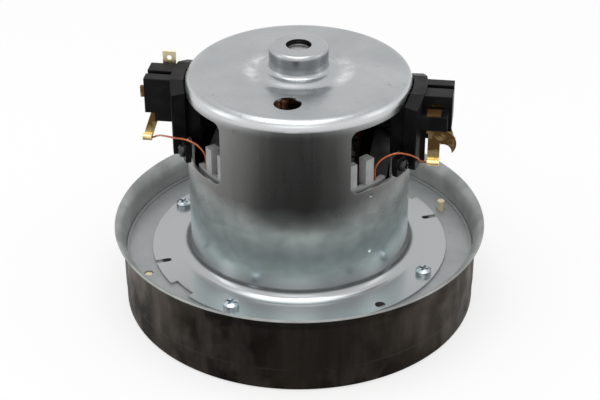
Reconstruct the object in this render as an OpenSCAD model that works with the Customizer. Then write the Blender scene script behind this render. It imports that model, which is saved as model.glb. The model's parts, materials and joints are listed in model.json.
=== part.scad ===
// Vacuum cleaner motor unit: a series-wound motor in a drawn steel housing on a wide fan drum.
// The motor axis is Z, the drum stands on z = 0 and the brushes lie along X.

/* [Fan drum] */
// Outside diameter of the drum
drum_d = 130; // [126:0.5:136]
// How far the rim flares out past the drum
rim_flare = 3; // [2:0.25:4.5]
// Height of the flared part of the rim
flare_h = 5; // [4:0.25:6.5]
// Height of the rim above the bracket plate
skirt_h = 10.4; // [9:0.2:16]
// Sheet thickness of the drum
cover_sheet = 0.8; // [0.6:0.05:1]
// Outside radius of the drum's bottom edge
base_edge_r = 1.6; // [1.4:0.1:3]
// Height of the pressed step round the drum
step_z = 9; // [6:0.5:11]
// Depth of that step
step_in = 0.2; // [0.1:0.05:0.3]
// Diameter of the suction inlet
inlet_d = 38; // [34:1:42]
// Height of the inlet's turned-in collar
collar_h = 3.4; // [2.8:0.1:4]
// Inside bend radius of that collar
collar_bend = 0.8; // [0.6:0.1:1]

/* [Impeller] */
// Diameter of the impeller
impeller_d = 108; // [100:1:112]
// Height of the impeller
impeller_h = 9.7; // [9.2:0.1:12]
// Free height between the drum's floor and the impeller
base_gap = 1.1; // [0.9:0.1:2]
// Sheet thickness of the impeller discs and blades
fan_sheet = 0.8; // [0.6:0.1:1]
// Thickness of the impeller's back disc
back_sheet = 1; // [0.8:0.1:1.4]
// Rise of the shroud from the eye to the rim
shroud_rise = 2.8; // [2:0.2:3.6]
// Radial gap between the inlet collar and the impeller's eye
eye_gap = 0.8; // [0.5:0.1:1.5]
// Number of blades
blade_count = 9; // [7:1:11]
// Radius of a blade's curve
blade_curve_r = 36; // [34:1:40]
// Distance of that curve's centre from the axis
blade_centre = 28; // [26:1:30]
// Width across the flats of the fan nut
nut_flats = 10; // [9:0.5:11]
// Height of the fan nut
nut_h = 5; // [4:0.5:5.5]
// Diameter of the clamp washer
clamp_d = 18; // [16:1:22]
// Thickness of the clamp washer
clamp_t = 1.2; // [1:0.1:1.6]
// Outside diameter of the spacer above the impeller
spacer_d = 13; // [12:0.5:15]

/* [Diffuser] */
// Free height between the impeller and the diffuser
fan_gap = 0.8; // [0.6:0.1:1.5]
// Thickness of the diffuser's disc
disc_t = 1; // [0.8:0.1:1.5]
// Height of the return vanes
vane_h = 6.2; // [5:0.2:9]
// Diameter of the diffuser's disc
disc_d = 114; // [112:1:116]
// Thickness of the vanes
vane_t = 1.2; // [1:0.1:1.6]
// Number of return vanes
vane_count = 12; // [8:1:14]
// Wall of the diffuser's outer ring
ring_wall = 1.6; // [1.2:0.1:2]
// Distance of the locating pegs from the axis
peg_out = 58.6; // [58.2:0.1:59]
// Diameter of a locating peg
peg_d = 2.8; // [2.4:0.1:3.2]
// How far the long peg stands above the bracket plate
peg_proud = 3.8; // [2:0.2:5]
// Direction of the long peg, from +X
peg_turn = 30; // [27:1:33]
// Inner end of the return vanes, from the axis
vane_in = 29; // [26:0.5:32]

/* [Bracket plate] */
// Sheet thickness of the bracket plate
plate_sheet = 1; // [0.8:0.1:1.5]
// Inner radius of the plate's air openings
air_in_r = 15; // [14:0.5:17]
// Outer radius of the plate's air openings
air_out_r = 35; // [30:0.5:36]
// Number of air openings
air_count = 6; // [4:1:8]
// Angle of one arm between two air openings
air_arm = 16; // [12:1:20]
// Height of the plate's turned-up edge
plate_lip = 1; // [0.6:0.1:1.6]
// How far the bearing cup's lip reaches in over the bearing
cup_lip = 3.5; // [2:0.1:3.8]

/* [Motor housing] */
// Outside diameter of the housing
body_d = 80; // [78:0.5:82]
// Height of the housing's shoulder above the bracket plate
body_h = 70.8; // [70.4:0.2:76]
// Sheet thickness of the housing
housing_sheet = 0.9; // [0.8:0.05:1]
// Outside radius of the shoulder
shoulder_r = 4; // [3:0.25:5]
// How far the flange reaches past its holes and screw heads
flange_edge = 0.9; // [0.7:0.1:1.2]
// Outside radius of the bend above the flange
flange_bend = 4; // [3:0.25:4.5]
// Height of the bearing boss above the shoulder
boss_h = 9.4; // [9.2:0.1:11]
// Outside radius of the boss's top edge
boss_edge_r = 1.5; // [1.3:0.1:2]
// Outside radius of the bend at the boss's foot
boss_bend = 1.6; // [1.2:0.1:1.8]
// Diameter of the hole in the boss
boss_hole_d = 9; // [8:0.25:10]
// Outer radius of the pressed bead round the boss
bead_out_r = 20.5; // [19.5:0.25:21]
// Radius of the bead's trough
bead_low_r = 16.4; // [16:0.2:17]
// Rise of the bead's crest above the top
bead_rise = 1; // [0.6:0.1:1.2]
// Depth of the bead's trough below the top
bead_dip = 0.35; // [0.2:0.05:0.5]
// Diameter of the cooling hole beside the boss
vent_d = 9.5; // [7:0.5:12]
// Distance of the cooling hole from the axis
vent_out = 26.5; // [24:0.5:28]

/* [Windows] */
// Height of the window sill above the bracket plate
sill_h = 40.5; // [40:0.25:42]
// Height of a window
window_h = 24.2; // [24:0.2:25]
// Angle that a window spans
window_angle = 112; // [104:1:118]
// Corner radius of a window
window_corner = 3; // [2:0.25:4]
// Height of the screw lugs on the sill
lug_h = 8; // [7.5:0.25:8.5]
// Width of a screw lug
lug_w = 6; // [5:0.25:7]

/* [Flange] */
// Distance of the flange screws from the axis
screw_out = 50.5; // [50:0.1:51]
// Direction of the first flange screw, from +X
screw_turn = -20; // [-24:1:-16]
// Direction of the first keyhole slot
slot_turn = 25; // [22:1:28]
// Width of a keyhole slot
slot_w = 2.2; // [1.6:0.1:3]
// Inner end of a keyhole slot, from the axis
slot_in = 48.8; // [48:0.1:50]
// Direction of the first edge notch
notch_turn = 46.5; // [44:0.5:50]
// Angle that an edge notch spans
notch_angle = 11; // [8:1:14]
// Depth of an edge notch
notch_depth = 2.6; // [1.5:0.1:3]
// Direction of the first half-round hole
eyelet_turn = -49; // [-54:1:-44]
// Diameter of that hole
eyelet_d = 3.6; // [3:0.1:4]
// How far that hole lies outside the screws
eyelet_past = 1.3; // [0.9:0.1:1.5]
// Direction of the first stake dimple
stake_turn = -44; // [-48:1:-40]
// Diameter of a stake dimple
stake_d = 1.4; // [1:0.1:1.6]

/* [Bearings] */
// Bore of the upper bearing
upper_bore = 7; // [6.5:0.25:7.5]
// Outside diameter of the upper bearing
upper_od = 19; // [18.5:0.25:20]
// Width of the upper bearing
upper_w = 6; // [5.6:0.1:6.2]
// Ball diameter of the upper bearing
upper_ball = 3.5; // [3.2:0.05:3.6]
// Bore of the lower bearing
lower_bore = 8; // [7.5:0.25:8.5]
// Outside diameter of the lower bearing
lower_od = 22; // [21.5:0.25:23]
// Width of the lower bearing
lower_w = 7; // [6.5:0.1:7.4]
// Ball diameter of the lower bearing
lower_ball = 3.95; // [3.7:0.05:4.05]
// Number of balls in a bearing
ball_count = 7; // [6:1:7]
// Thickness of the preload washer
washer_h = 0.6; // [0.4:0.1:0.8]

/* [Rotor] */
// Diameter of the shaft between the bearings
shaft_d = 9; // [8.5:0.1:9.4]
// Diameter of the shaft's thread
thread_d = 6; // [5:0.25:6.5]
// How far the thread stands out of the nut
thread_out = 0.7; // [0.5:0.1:0.9]
// Diameter of the armature
armature_d = 40; // [38:0.25:41]
// Height of the armature and stator stacks
stack_h = 20.6; // [19:0.2:21]
// Height of the stacks above the bracket plate
stack_up = 16.4; // [16:0.2:17]
// Number of armature slots and commutator bars
slot_count = 22; // [18:1:24]
// Diameter of an armature slot
slot_d = 2.9; // [2.4:0.1:3]
// Depth of the slot's centre below the armature's surface
slot_deep = 4.4; // [4:0.1:5]
// Outer radius of the armature's end turns
end_turn_r = 18; // [17.6:0.1:18.4]
// Height of the upper end turns
end_turn_h = 10; // [8:0.25:11]
// Thickness of the armature's end discs
end_disc_t = 0.7; // [0.5:0.1:0.9]
// Diameter of the commutator
commutator_d = 23; // [22:0.25:24]
// Height of the commutator
commutator_h = 15; // [14:0.25:16]
// Depth of a commutator bar
bar_depth = 3; // [2.5:0.1:3.5]
// Gap between two commutator bars
bar_gap = 0.5; // [0.4:0.05:0.8]
// How far a bar's riser stands out
riser_out = 1.3; // [1:0.1:1.6]
// Height of a riser
riser_h = 2.2; // [1.6:0.1:2.4]

/* [Stator] */
// Width across the stator's flats
stator_flats = 66; // [64:0.5:68]
// Thickness of the yoke at the flats
yoke_side = 7.5; // [6.5:0.25:8.5]
// Thickness of the yoke behind the poles
yoke_back = 7.5; // [7:0.25:8]
// Least thickness of the yoke at its corners
yoke_corner = 3; // [2.5:0.1:3.2]
// Width of a pole
pole_w = 25; // [24:0.25:26]
// Thickness of a pole shoe
shoe_t = 3.5; // [3:0.1:3.7]
// Angle that a pole shoe spans
shoe_angle = 116; // [108:1:120]
// Air gap between armature and stator
air_gap = 0.5; // [0.4:0.05:0.8]
// Thickness of the insulator's walls
insulator_t = 0.8; // [0.6:0.1:1]
// Height of the insulator's posts above the stack
post_h = 13.6; // [12:0.2:14]
// Width of a post
post_w = 3.6; // [3:0.1:4]
// Direction of the tall posts, from +X
post_turn = 41.7; // [40:0.5:43]
// Direction of the slim posts, from +X
slim_turn = 52.5; // [51.5:0.25:53]
// Width of a slim post
slim_w = 2.6; // [2:0.1:3]
// Height of the insulator's rim above the stack
rim_wall_h = 4; // [3:0.1:5]

/* [Field coils] */
// Thickness of a field coil round its pole
coil_t = 6.6; // [6:0.1:6.8]
// Distance of a coil's inner side from the axis
coil_in = 21.2; // [21:0.1:21.4]
// Thickness of the insulation under a coil
coil_lift = 0.9; // [0.8:0.1:1.2]
// Diameter of the wire in a coil's outer layer
coil_wire_d = 0.76; // [0.6:0.02:0.78]
// Pitch of the turns in the outer layer
coil_pitch = 1.2; // [1.19:0.01:1.26]
// Turns in the outer layer
coil_loops = 6; // [4:1:6]
// Squareness of a coil's corners
coil_square = 5; // [4:1:6]
// Diameter of the lead wires
lead_d = 0.7; // [0.5:0.05:0.8]

/* [Brush gear] */
// Height of the brushes above the window sill
brush_up = 17.9; // [17.7:0.1:18]
// Width of a brush round the commutator
brush_w = 6.2; // [5.5:0.1:6.6]
// Height of a brush along the axis
brush_t = 9; // [8:0.1:9.2]
// Length of a brush
brush_l = 26; // [22:0.5:28]
// Wall of the brass brush tube
tube_wall = 0.6; // [0.5:0.05:0.7]
// Inner end of the brush tube, from the axis
tube_in = 14.5; // [14:0.25:15.5]
// Outer end of the brush tube, from the axis
tube_out = 53; // [52.4:0.2:53.2]
// How far the left tube's tail stands out of its holder
tail_out = 2.9; // [2.2:0.1:3.2]
// Height of that tail
tail_h = 4.2; // [3:0.2:6]
// Wire of the brush spring
spring_wire_d = 0.7; // [0.5:0.05:0.8]
// Diameter of the brush spring at the wire's middle
spring_d = 4.9; // [4.4:0.1:5]
// Curls of the brush spring
spring_curls = 9; // [6:1:10]

/* [Brush holder] */
// Outer end of the holder's block, from the axis
block_out = 54.4; // [54:0.1:56]
// Width of the block
block_w = 13.2; // [12:0.1:14]
// Height of the block
block_h = 16.5; // [15:0.25:17]
// Length of the notch under the block's end
block_notch_l = 3.5; // [2:0.25:4]
// Height of that notch
block_notch_h = 3.2; // [2:0.2:4]
// Width of the groove on the block
groove_w = 2.6; // [2:0.1:3]
// Depth of that groove
groove_depth = 1.6; // [1:0.1:2]
// Side shift of that groove
groove_shift = 1; // [0:0.25:2]
// Thickness of the saddle against the housing
saddle_t = 4.8; // [4:0.1:5.2]
// Half angle of the saddle
saddle_half = 19; // [17.5:0.5:19.5]
// Height of the saddle above the block
saddle_rise = 0.8; // [0.4:0.1:1]
// Slope of the saddle's shoulders
saddle_slope = 20; // [10:1:26]
// Side distance at which the shoulders start to fall
saddle_flat = 7.2; // [6.8:0.1:8]
// Thickness of the screw ears
ear_t = 2; // [1.6:0.1:2.4]
// Direction of an ear's screw, from the brush
ear_turn = 24.5; // [24:0.25:25]
// Half angle of an ear past its screw
ear_half = 4.5; // [4:0.25:5]
// Height of an ear
ear_h = 6.8; // [6:0.2:7]
// Lift of the holder above the window sill
holder_lift = 1.1; // [0.6:0.1:1.4]
// How far the terminal pocket stands out of the block's side
pocket_out = 5.1; // [4.6:0.1:5.6]
// Height of the terminal pocket
pocket_h = 5.4; // [5:0.1:6]
// Length of the terminal pocket, from its outer end inward
pocket_l = 9.5; // [9:0.1:10]
// Top of the pocket below the top of the block
pocket_drop = 5.4; // [5:0.1:6]
// Wall around the brush tube inside the housing
guide_wall = 0.8; // [0.6:0.05:0.9]
// Inner end of the holder's guide, from the axis
guide_in = 16.5; // [16:0.25:18]
// Inner end of the wide root between the guide and the saddle, from the axis
root_in = 33.5; // [32:0.5:35]
// Width of that root
root_w = 21; // [19:0.5:22]
// Lift of the root above the foot of the saddle
root_lift = 4.3; // [3.5:0.1:6]

/* [Terminals] */
// Sheet thickness of the brass terminals
brass_sheet = 0.6; // [0.5:0.05:0.8]
// Width of the line tab
tab_w = 4.8; // [4.2:0.1:5]
// Height of the upright line tab above the pocket
tab_h = 8.8; // [7:0.2:10]
// Diameter of the hole in the line tab
tab_hole_d = 1.8; // [1.4:0.1:2]
// Outer radius of the terminal's hook
hook_r = 5; // [4.6:0.1:5.2]
// Inner radius of the terminal's hook
hook_in_r = 3; // [2.6:0.1:3.2]
// Width of the terminal's leg
leg_w = 4.2; // [3.8:0.1:4.6]
// Length of the terminal's leg below the pocket
leg_l = 12.4; // [12:0.1:13]
// Width of the brush clip's strip
clip_w = 3.2; // [2.8:0.1:3.4]
// Lean of the brush clip's strip
clip_lean = 19; // [16:1:21]
// Length of the brush clip's strip
clip_l = 14; // [13.5:0.25:14.5]
// Outside diameter of a wire crimp
crimp_d = 2.4; // [2.2:0.1:2.8]

/* [Fasteners] */
// Diameter of the flange screws
screw_d = 3; // [2.8:0.1:3.2]
// Head diameter of the flange screws
head_d = 5.6; // [5:0.1:6]
// Head height of the flange screws
head_h = 2.2; // [1.8:0.1:2.6]
// Length of the flange screws under the head
screw_l = 4.6; // [3:0.2:6]
// Diameter of the holder screws
ear_screw_d = 2.4; // [2:0.1:2.6]
// Head diameter of the holder screws
ear_head_d = 4.6; // [4:0.1:5]
// Head height of the holder screws
ear_head_h = 1.6; // [1.2:0.1:2]
// Length of the holder screws under the head
ear_screw_l = 4.2; // [3.4:0.1:4.4]

/* [Fits] */
// Radial gap of pressed parts
press_gap = 0.02; // [0.01:0.01:0.03]
// Gap of parts that slide or drop in
slide_gap = 0.15; // [0.1:0.01:0.2]
// Gap between a brush and the commutator
brush_gap = 0.1; // [0.08:0.01:0.15]
// Gap between a ball and its races
ball_gap = 0.06; // [0.04:0.01:0.08]
// Axial gap between turning and fixed parts
axial_gap = 1.1; // [0.8:0.1:1.4]
// Gap round screws in clearance holes
hole_gap = 0.2; // [0.15:0.05:0.3]
// Gap between the holder and the housing
saddle_gap = 0.4; // [0.3:0.05:0.5]

/* [Hidden] */
$fn = 96;

// Colours as the photograph shows them
zinc_colour = [0.78, 0.8, 0.81];
drum_colour = [0.42, 0.4, 0.37];
black_colour = [0.09, 0.09, 0.1];
brass_colour = [0.78, 0.62, 0.28];
copper_colour = [0.78, 0.4, 0.2];
pale_colour = [0.85, 0.86, 0.86];
nylon_colour = [0.9, 0.86, 0.72];
steel_colour = [0.62, 0.63, 0.65];
lamination_colour = [0.45, 0.46, 0.48];
alloy_colour = [0.82, 0.83, 0.84];
carbon_colour = [0.2, 0.2, 0.21];
phenolic_colour = [0.32, 0.2, 0.12];

// How far a cut runs past the faces it cuts, or a piece into the one it joins
over = 1;

// Heights, from the drum's floor upward
shroud_z0 = cover_sheet + base_gap;
impeller_z1 = shroud_z0 + impeller_h;
diffuser_z0 = impeller_z1 + fan_gap;
disc_z1 = diffuser_z0 + disc_t;
plate_z0 = disc_z1 + vane_h;
plate_z1 = plate_z0 + plate_sheet;
flange_z1 = plate_z1 + housing_sheet;
rim_z = plate_z1 + skirt_h;
flare_z = rim_z - flare_h;
stack_z0 = plate_z1 + stack_up;
stack_z1 = stack_z0 + stack_h;
sill_z = plate_z1 + sill_h;
lintel_z = sill_z + window_h;
brush_z = sill_z + brush_up;
shoulder_z = plate_z1 + body_h;
boss_z = shoulder_z + boss_h;
upper_z1 = boss_z - housing_sheet - washer_h;
upper_z0 = upper_z1 - upper_w;
lower_z0 = plate_z1;
lower_z1 = lower_z0 + lower_w;
cup_z1 = lower_z1 + plate_sheet;

// Radii
drum_r = drum_d / 2;
drum_in_r = drum_r - cover_sheet;
plate_r = drum_in_r - slide_gap;
body_r = body_d / 2;
body_in_r = body_r - housing_sheet;
eyelet_out = screw_out + eyelet_past;
flange_r = eyelet_out + eyelet_d / 2 + flange_edge;
boss_in_r = upper_od / 2 + press_gap;
boss_r = boss_in_r + housing_sheet;
bead_in_r = boss_r + boss_bend;
bead_strides = 9;
cup_in_r = lower_od / 2 + press_gap;
cup_r = cup_in_r + plate_sheet;
inlet_r = inlet_d / 2;
eye_r = inlet_r + cover_sheet + eye_gap;
impeller_r = impeller_d / 2;
shaft_r = shaft_d / 2;
shaft_bore_r = shaft_r + press_gap;
armature_r = armature_d / 2;
bore_r = armature_r + air_gap;
stator_r = body_in_r - press_gap;
insulator_r = stator_r - stake_d / 2;
commutator_r = commutator_d / 2;

// Impeller stack on the shaft
back_z0 = impeller_z1 - back_sheet;
clamp_z0 = back_z0 - clamp_t;
nut_z0 = clamp_z0 - nut_h;
shaft_z0 = nut_z0 - thread_out;
shaft_z1 = upper_z1 - slide_gap;

// Armature and commutator
slot_out = armature_r - slot_deep;
winding_bar_r = slot_d / 2 - slide_gap;
commutator_z0 = brush_z - commutator_h / 2;
hub_r = commutator_r - bar_depth;
lower_turns_z0 = cup_z1 + axial_gap;
lower_turns_h = stack_z0 - end_disc_t - lower_turns_z0;

// Field coils: a coil's section and the middle line of its outer layer
coil_half_w = pole_w / 2 + coil_lift - slide_gap;
coil_half_h = stack_h / 2 + coil_lift;
coil_loop_w = coil_half_w + coil_t - coil_wire_d / 2;
coil_loop_h = coil_half_h + coil_t - coil_wire_d / 2;
coil_core_gap = 0.25;
coil_core_w = coil_loop_w - coil_wire_d / 2 - coil_core_gap;
coil_core_h = coil_loop_h - coil_wire_d / 2 - coil_core_gap;
coil_deep = coil_loops * coil_pitch + coil_wire_d;
coil_out = coil_in + coil_deep;
coil_z = stack_z0 + stack_h / 2;
coil_rings = 24;
coil_sides = 6;
coil_end_l = 2 * coil_wire_d;
flange_top_z = stack_z1 + coil_lift + coil_t + insulator_t;
wire_stop_t = 1.2;
wire_stop_reach = 0.7 * coil_wire_d;
wire_stop_z = coil_z + coil_core_h + slide_gap;
wire_stop_h = coil_loop_h - coil_core_h - slide_gap + coil_wire_d;
rim_inset = 0.4;
rim_wall_t = 2;
rim_ends = [5.5, 2];
post_inset = 2 * rim_inset;

// Brush tube, spring and holder
tube_half_w = brush_w / 2 + slide_gap + tube_wall;
tube_half_h = brush_t / 2 + slide_gap + tube_wall;
brush_in = commutator_r + brush_gap;
brush_out = brush_in + brush_l;
tube_face = tube_out - tube_wall;
spring_in = brush_out + slide_gap;
spring_rings = 8;
block_z0 = brush_z - block_h / 2;
block_z1 = brush_z + block_h / 2;
saddle_r0 = body_r + saddle_gap;
saddle_r1 = saddle_r0 + saddle_t;
saddle_z0 = sill_z + holder_lift;
saddle_z1 = block_z1 + saddle_rise;
ear_r1 = saddle_r0 + ear_t;
ear_screw_z = saddle_z0 + ear_h / 2;
pocket_z1 = block_z1 - pocket_drop;
pocket_z0 = pocket_z1 - pocket_h;
pocket_inset = 1.3;
pocket_x1 = block_out - pocket_inset;
pocket_x0 = pocket_x1 - pocket_l;
terminal_y = -(block_w / 2 + 0.6 * pocket_out);
terminal_inset = 3;
terminal_x0 = pocket_x0 + terminal_inset;
tab_x0 = terminal_x0 - brass_sheet;
tab_inset = 0.3;
tongue_l = 2;
head_gap = 0.4;
head_l = 5.6;
hook_inset = 1.6;
hook_shift = 0.5;
leg_bottom_z = pocket_z0 - leg_l;
leg_crimp_z = leg_bottom_z - crimp_d / 4;
clip_y = (tube_half_w + block_w / 2) / 2;
clip_back = 4.8;
clip_drop = 2;
clip_pivot = [block_out - clip_back, brush_z - clip_drop];
support_leg_w = 1.8;
support_leg_t = 2.4;
support_leg_gap = 1;
block_root = 2;
tube_window = [4, 2.2];
tube_window_in = 2;

// Stake dimples sit just clear of the stack
stake_r = stake_d / 2;
stake_heights = [stack_z0 - stake_r - slide_gap, stack_z1 + stake_r + slide_gap];

// Coil leads, each from the insulator's rim to its crimp
lead_foot_turn = 37;
lead_foot_r = insulator_r - rim_inset - rim_wall_t / 2;
rim_wall_z1 = stack_z1 + rim_wall_h;
lead_foot = [lead_foot_r * cos(lead_foot_turn), -lead_foot_r * sin(lead_foot_turn), rim_wall_z1];
leg_crimp = [terminal_x0, terminal_y - brass_sheet / 2 - crimp_d / 4, leg_crimp_z];
clip_end = [
    clip_pivot[0] + clip_l * sin(clip_lean),
    clip_y + brass_sheet / 2 + crimp_d / 4,
    clip_pivot[1] - clip_l * cos(clip_lean)
];
// A point of a route: its radius and how many wires it lies outside that, its angle from the brush
// and its height over the holder's foot in heights of an ear
function route_point(r, wires, turn, ears) =
    let (reach = r + wires * lead_d)
    [reach * cos(turn), -reach * sin(turn), saddle_z0 + ears * ear_h];
function over_foot(wires) = lead_foot + [0, 0, wires * lead_d];
function across_x(list) = [for (p = list) [-p[0], p[1], p[2]]];
front_right_route = [
    lead_foot, over_foot(2), over_foot(5.7),
    route_point(body_in_r, -2.3, 35.8, 0.85), route_point(body_in_r, -0.4, 32.3, 1.15),
    route_point(body_r, 2, 27.3, 1.28), route_point(saddle_r1, -1.3, 22.9, 1.09),
    route_point(saddle_r1, 1, 18.6, 0.71),
    leg_crimp + crimp_d * [-1.1, -0.5, 0.5], leg_crimp + crimp_d * [-0.4, 0, 0],
    leg_crimp, leg_crimp + crimp_d * [1.25, 0, 0]
];
clip_front = [clip_end[0], -clip_end[1], clip_end[2]];
front_left_route = across_x([
    lead_foot, over_foot(2), over_foot(5.7),
    route_point(body_in_r, -2.3, 35.9, 0.85), route_point(body_in_r, 0, 32.9, 1.18),
    route_point(body_r, 2.7, 28.5, 1.34), route_point(saddle_r1, -0.3, 23.6, 1.24),
    route_point(saddle_r1, 3.4, 17.4, 1), route_point(saddle_r1, 6.6, 11.6, 0.68),
    clip_front + crimp_d * [-1.25, -0.33, 0.33], clip_front + crimp_d * [-0.75, 0, 0],
    clip_front + crimp_d * [0.4, 0, 0]
]);
lead_steps = 3;
lead_sides = 8;

// Vectors and swept tubes
function unit(v) = v / norm(v);
function last(list) = len(list) - 1;
function along(path, i) = unit(path[min(i + 1, last(path))] - path[max(i - 1, 0)]);
function ring_at(p, out, across, r, sides) =
    [for (k = [0 : sides - 1]) p + r * (cos(360 * k / sides) * out + sin(360 * k / sides) * across)];
function tube_points(path, outs, r, sides) =
    [for (i = [0 : last(path)])
        let (t = along(path, i), across = unit(cross(t, outs[i])), out = cross(across, t))
        each ring_at(path[i], out, across, r, sides)];
function tube_faces(rings, sides) = concat(
    [for (i = [0 : rings - 2], k = [0 : sides - 1])
        let (a = i * sides + k, b = i * sides + (k + 1) % sides)
        each [[a, a + sides, b], [b, a + sides, b + sides]]],
    [for (k = [1 : sides - 2]) [0, k, k + 1]],
    [for (k = [1 : sides - 2]) let (s = (rings - 1) * sides) [s, s + k + 1, s + k]]);

// A smooth curve through the points of a route
function spline(a, b, c, d, t) =
    0.5 * (2 * b + (c - a) * t + (2 * a - 5 * b + 4 * c - d) * t * t + (3 * b - a - 3 * c + d) * t * t * t);
function smooth(p, steps) = concat(
    [for (i = [0 : last(p) - 1], s = [0 : steps - 1])
        spline(p[max(i - 1, 0)], p[i], p[i + 1], p[min(i + 2, last(p))], s / steps)],
    [p[last(p)]]);

// Side of a rounded square at angle t, used for the field coils
function bulge(v, square) = sign(v) * pow(abs(v), 2 / square);
function coil_point(w, h, t) = [w * bulge(cos(t), coil_square), h * bulge(sin(t), coil_square)];

// The outer layer of a coil as one run of wire, with straight ends
function coil_path() =
    let (y0 = coil_in + coil_wire_d / 2, total = coil_loops * coil_rings)
    concat(
        [[coil_end_l, y0, coil_loop_h], [coil_end_l / 2, y0, coil_loop_h]],
        [for (i = [0 : total])
            let (p = coil_point(coil_loop_w, coil_loop_h, 90 + 360 * i / coil_rings))
            [p[0], y0 + coil_pitch * i / coil_rings, p[1]]],
        [[-coil_end_l / 2, y0 + coil_pitch * coil_loops, coil_loop_h],
         [-coil_end_l, y0 + coil_pitch * coil_loops, coil_loop_h]]);
function coil_outs(path) = [for (p = path) unit([p[0] / coil_loop_w, 0, p[2] / coil_loop_h])];

// A brush spring about the X axis, from the brush to the end of the tube
function spring_path() =
    let (total = spring_curls * spring_rings, x0 = spring_in + spring_wire_d / 2)
    let (span = tube_face - slide_gap - spring_wire_d / 2 - x0)
    [for (i = [0 : total])
        let (a = 360 * i / spring_rings)
        [x0 + span * i / total, spring_d / 2 * cos(a), spring_d / 2 * sin(a)]];
function spring_outs(path) = [for (p = path) unit([0, p[1], p[2]])];

// Least gap between turns of a tube that lie at least half a turn apart
function least_gap(path, apart, d) =
    min([for (i = [0 : last(path) - apart], j = [i + apart : last(path)]) norm(path[i] - path[j])]) - d;
echo(field_coil_gap = least_gap(coil_path(), coil_rings / 2, coil_wire_d));
echo(brush_spring_gap = least_gap(spring_path(), spring_rings / 2, spring_wire_d));

module tube(path, outs, d, sides) {
    polyhedron(points = tube_points(path, outs, d / 2, sides), faces = tube_faces(len(path), sides));
}

// Plain shapes that several pieces share
module ring(r_out, r_in, h) {
    linear_extrude(h) difference() {
        circle(r_out);
        circle(r_in);
    }
}

module sector(r_out, r_in, from, to, h) {
    rotate([0, 0, from])
        rotate_extrude(angle = to - from)
            translate([r_in, 0]) square([r_out - r_in, h]);
}

// A quarter of a bent sheet in a turned profile, on one side of the bend's centre
module bend(centre, r, sheet, right, up) {
    reach = r + sheet;
    translate(centre) intersection() {
        difference() {
            circle(reach);
            circle(r);
        }
        translate([right ? 0 : -reach, up ? 0 : -reach]) square(reach);
    }
}

module strip(from, to) {
    translate(from) square(to - from);
}

// Two pieces, one the other turned half round the axis
module half_turn() {
    rotate([0, 0, 180]) children();
}

module both_ways() {
    children();
    half_turn() children();
}

// A pan head screw along Z with its head's seat at z = 0
module pan_screw(d, head, head_height, length) {
    recess_w = head / 6;
    recess_l = head / 1.6;
    edge = head_height / 3;
    difference() {
        union() {
            translate([0, 0, -length]) cylinder(d = d, h = length + edge);
            cylinder(d = head, h = head_height - edge);
            translate([0, 0, head_height - edge]) cylinder(d1 = head, d2 = head - 3 * edge, h = edge);
        }
        for (turn = [0, 90])
            rotate([0, 0, turn])
                translate([-recess_l / 2, -recess_w / 2, head_height / 2])
                    cube([recess_l, recess_w, head_height]);
    }
}

// Motor housing
// A smooth step from one radius and height to another, in equal strides
function swell(r0, z0, r1, z1) = [
    for (k = [0 : bead_strides])
        [r0 + (r1 - r0) * k / bead_strides, z0 + (z1 - z0) * (1 - cos(180 * k / bead_strides)) / 2]
];

// The sheet round the boss rises to a crest at the boss and dips before it
module bead_profile() {
    fall = swell(bead_in_r, shoulder_z + bead_rise, bead_low_r, shoulder_z - bead_dip);
    climb = swell(bead_low_r, shoulder_z - bead_dip, bead_out_r, shoulder_z);
    upper = concat(fall, [for (k = [1 : bead_strides]) climb[k]]);
    last = len(upper) - 1;
    polygon(concat(upper, [for (k = [0 : last]) upper[last - k] - [0, housing_sheet]]));
}

module housing_profile() {
    strip([body_r + flange_bend, plate_z1], [flange_r, flange_z1]);
    bend([body_r + flange_bend, flange_z1 + flange_bend], flange_bend, housing_sheet, false, false);
    strip([body_in_r, flange_z1 + flange_bend], [body_r, shoulder_z - shoulder_r]);
    bend([body_r - shoulder_r, shoulder_z - shoulder_r],
         shoulder_r - housing_sheet, housing_sheet, true, true);
    strip([bead_out_r, shoulder_z - housing_sheet], [body_r - shoulder_r, shoulder_z]);
    bead_profile();
    bend([bead_in_r, shoulder_z + bead_rise + boss_bend], boss_bend, housing_sheet, false, false);
    strip([boss_in_r, shoulder_z + bead_rise + boss_bend], [boss_r, boss_z - boss_edge_r]);
    bend([boss_r - boss_edge_r, boss_z - boss_edge_r],
         boss_edge_r - housing_sheet, housing_sheet, true, true);
    strip([boss_hole_d / 2, boss_z - housing_sheet], [boss_r - boss_edge_r, boss_z]);
}

// What a rounded corner leaves of a square one, its two flanks run on past the corner
function corner_points(r) =
    let (arc = [for (k = [0 : 15 : 90]) r * [cos(k) - 1, sin(k) - 1]])
    concat([4 * arc[0] - 3 * arc[1]], [for (k = [1 : 5]) arc[k]], [4 * arc[6] - 3 * arc[5]], [[r, r]]);

// A window's opening, less its rounded corners and the two lugs that stand on its sill
module window_cut() {
    half = window_angle / 2;
    lug_half = asin(lug_w / 2 / body_r);
    cut_in = body_in_r - 2 * over;
    cut_out = body_r + 2 * over;
    difference() {
        translate([0, 0, sill_z]) sector(cut_out, cut_in, -half, half, window_h);
        for (side = [0, 1], top = [0, 1])
            mirror([0, side, 0]) rotate([0, 0, half])
                translate([cut_in - over, 0, top == 1 ? lintel_z : sill_z]) mirror([0, 0, 1 - top])
                    rotate([90, 0, 90]) linear_extrude(cut_out - cut_in + 2 * over)
                        polygon(corner_points(window_corner));
        for (side = [-1, 1])
            translate([0, 0, sill_z - over])
                sector(cut_out + over, cut_in - over,
                       side * ear_turn - lug_half, side * ear_turn + lug_half, lug_h + over);
    }
}

module lug_holes() {
    for (side = [-1, 1])
        ear_screw_place(side) translate([0, 0, -ear_screw_l])
            cylinder(d = ear_screw_d + 4 * press_gap, h = ear_screw_l);
}

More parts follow.
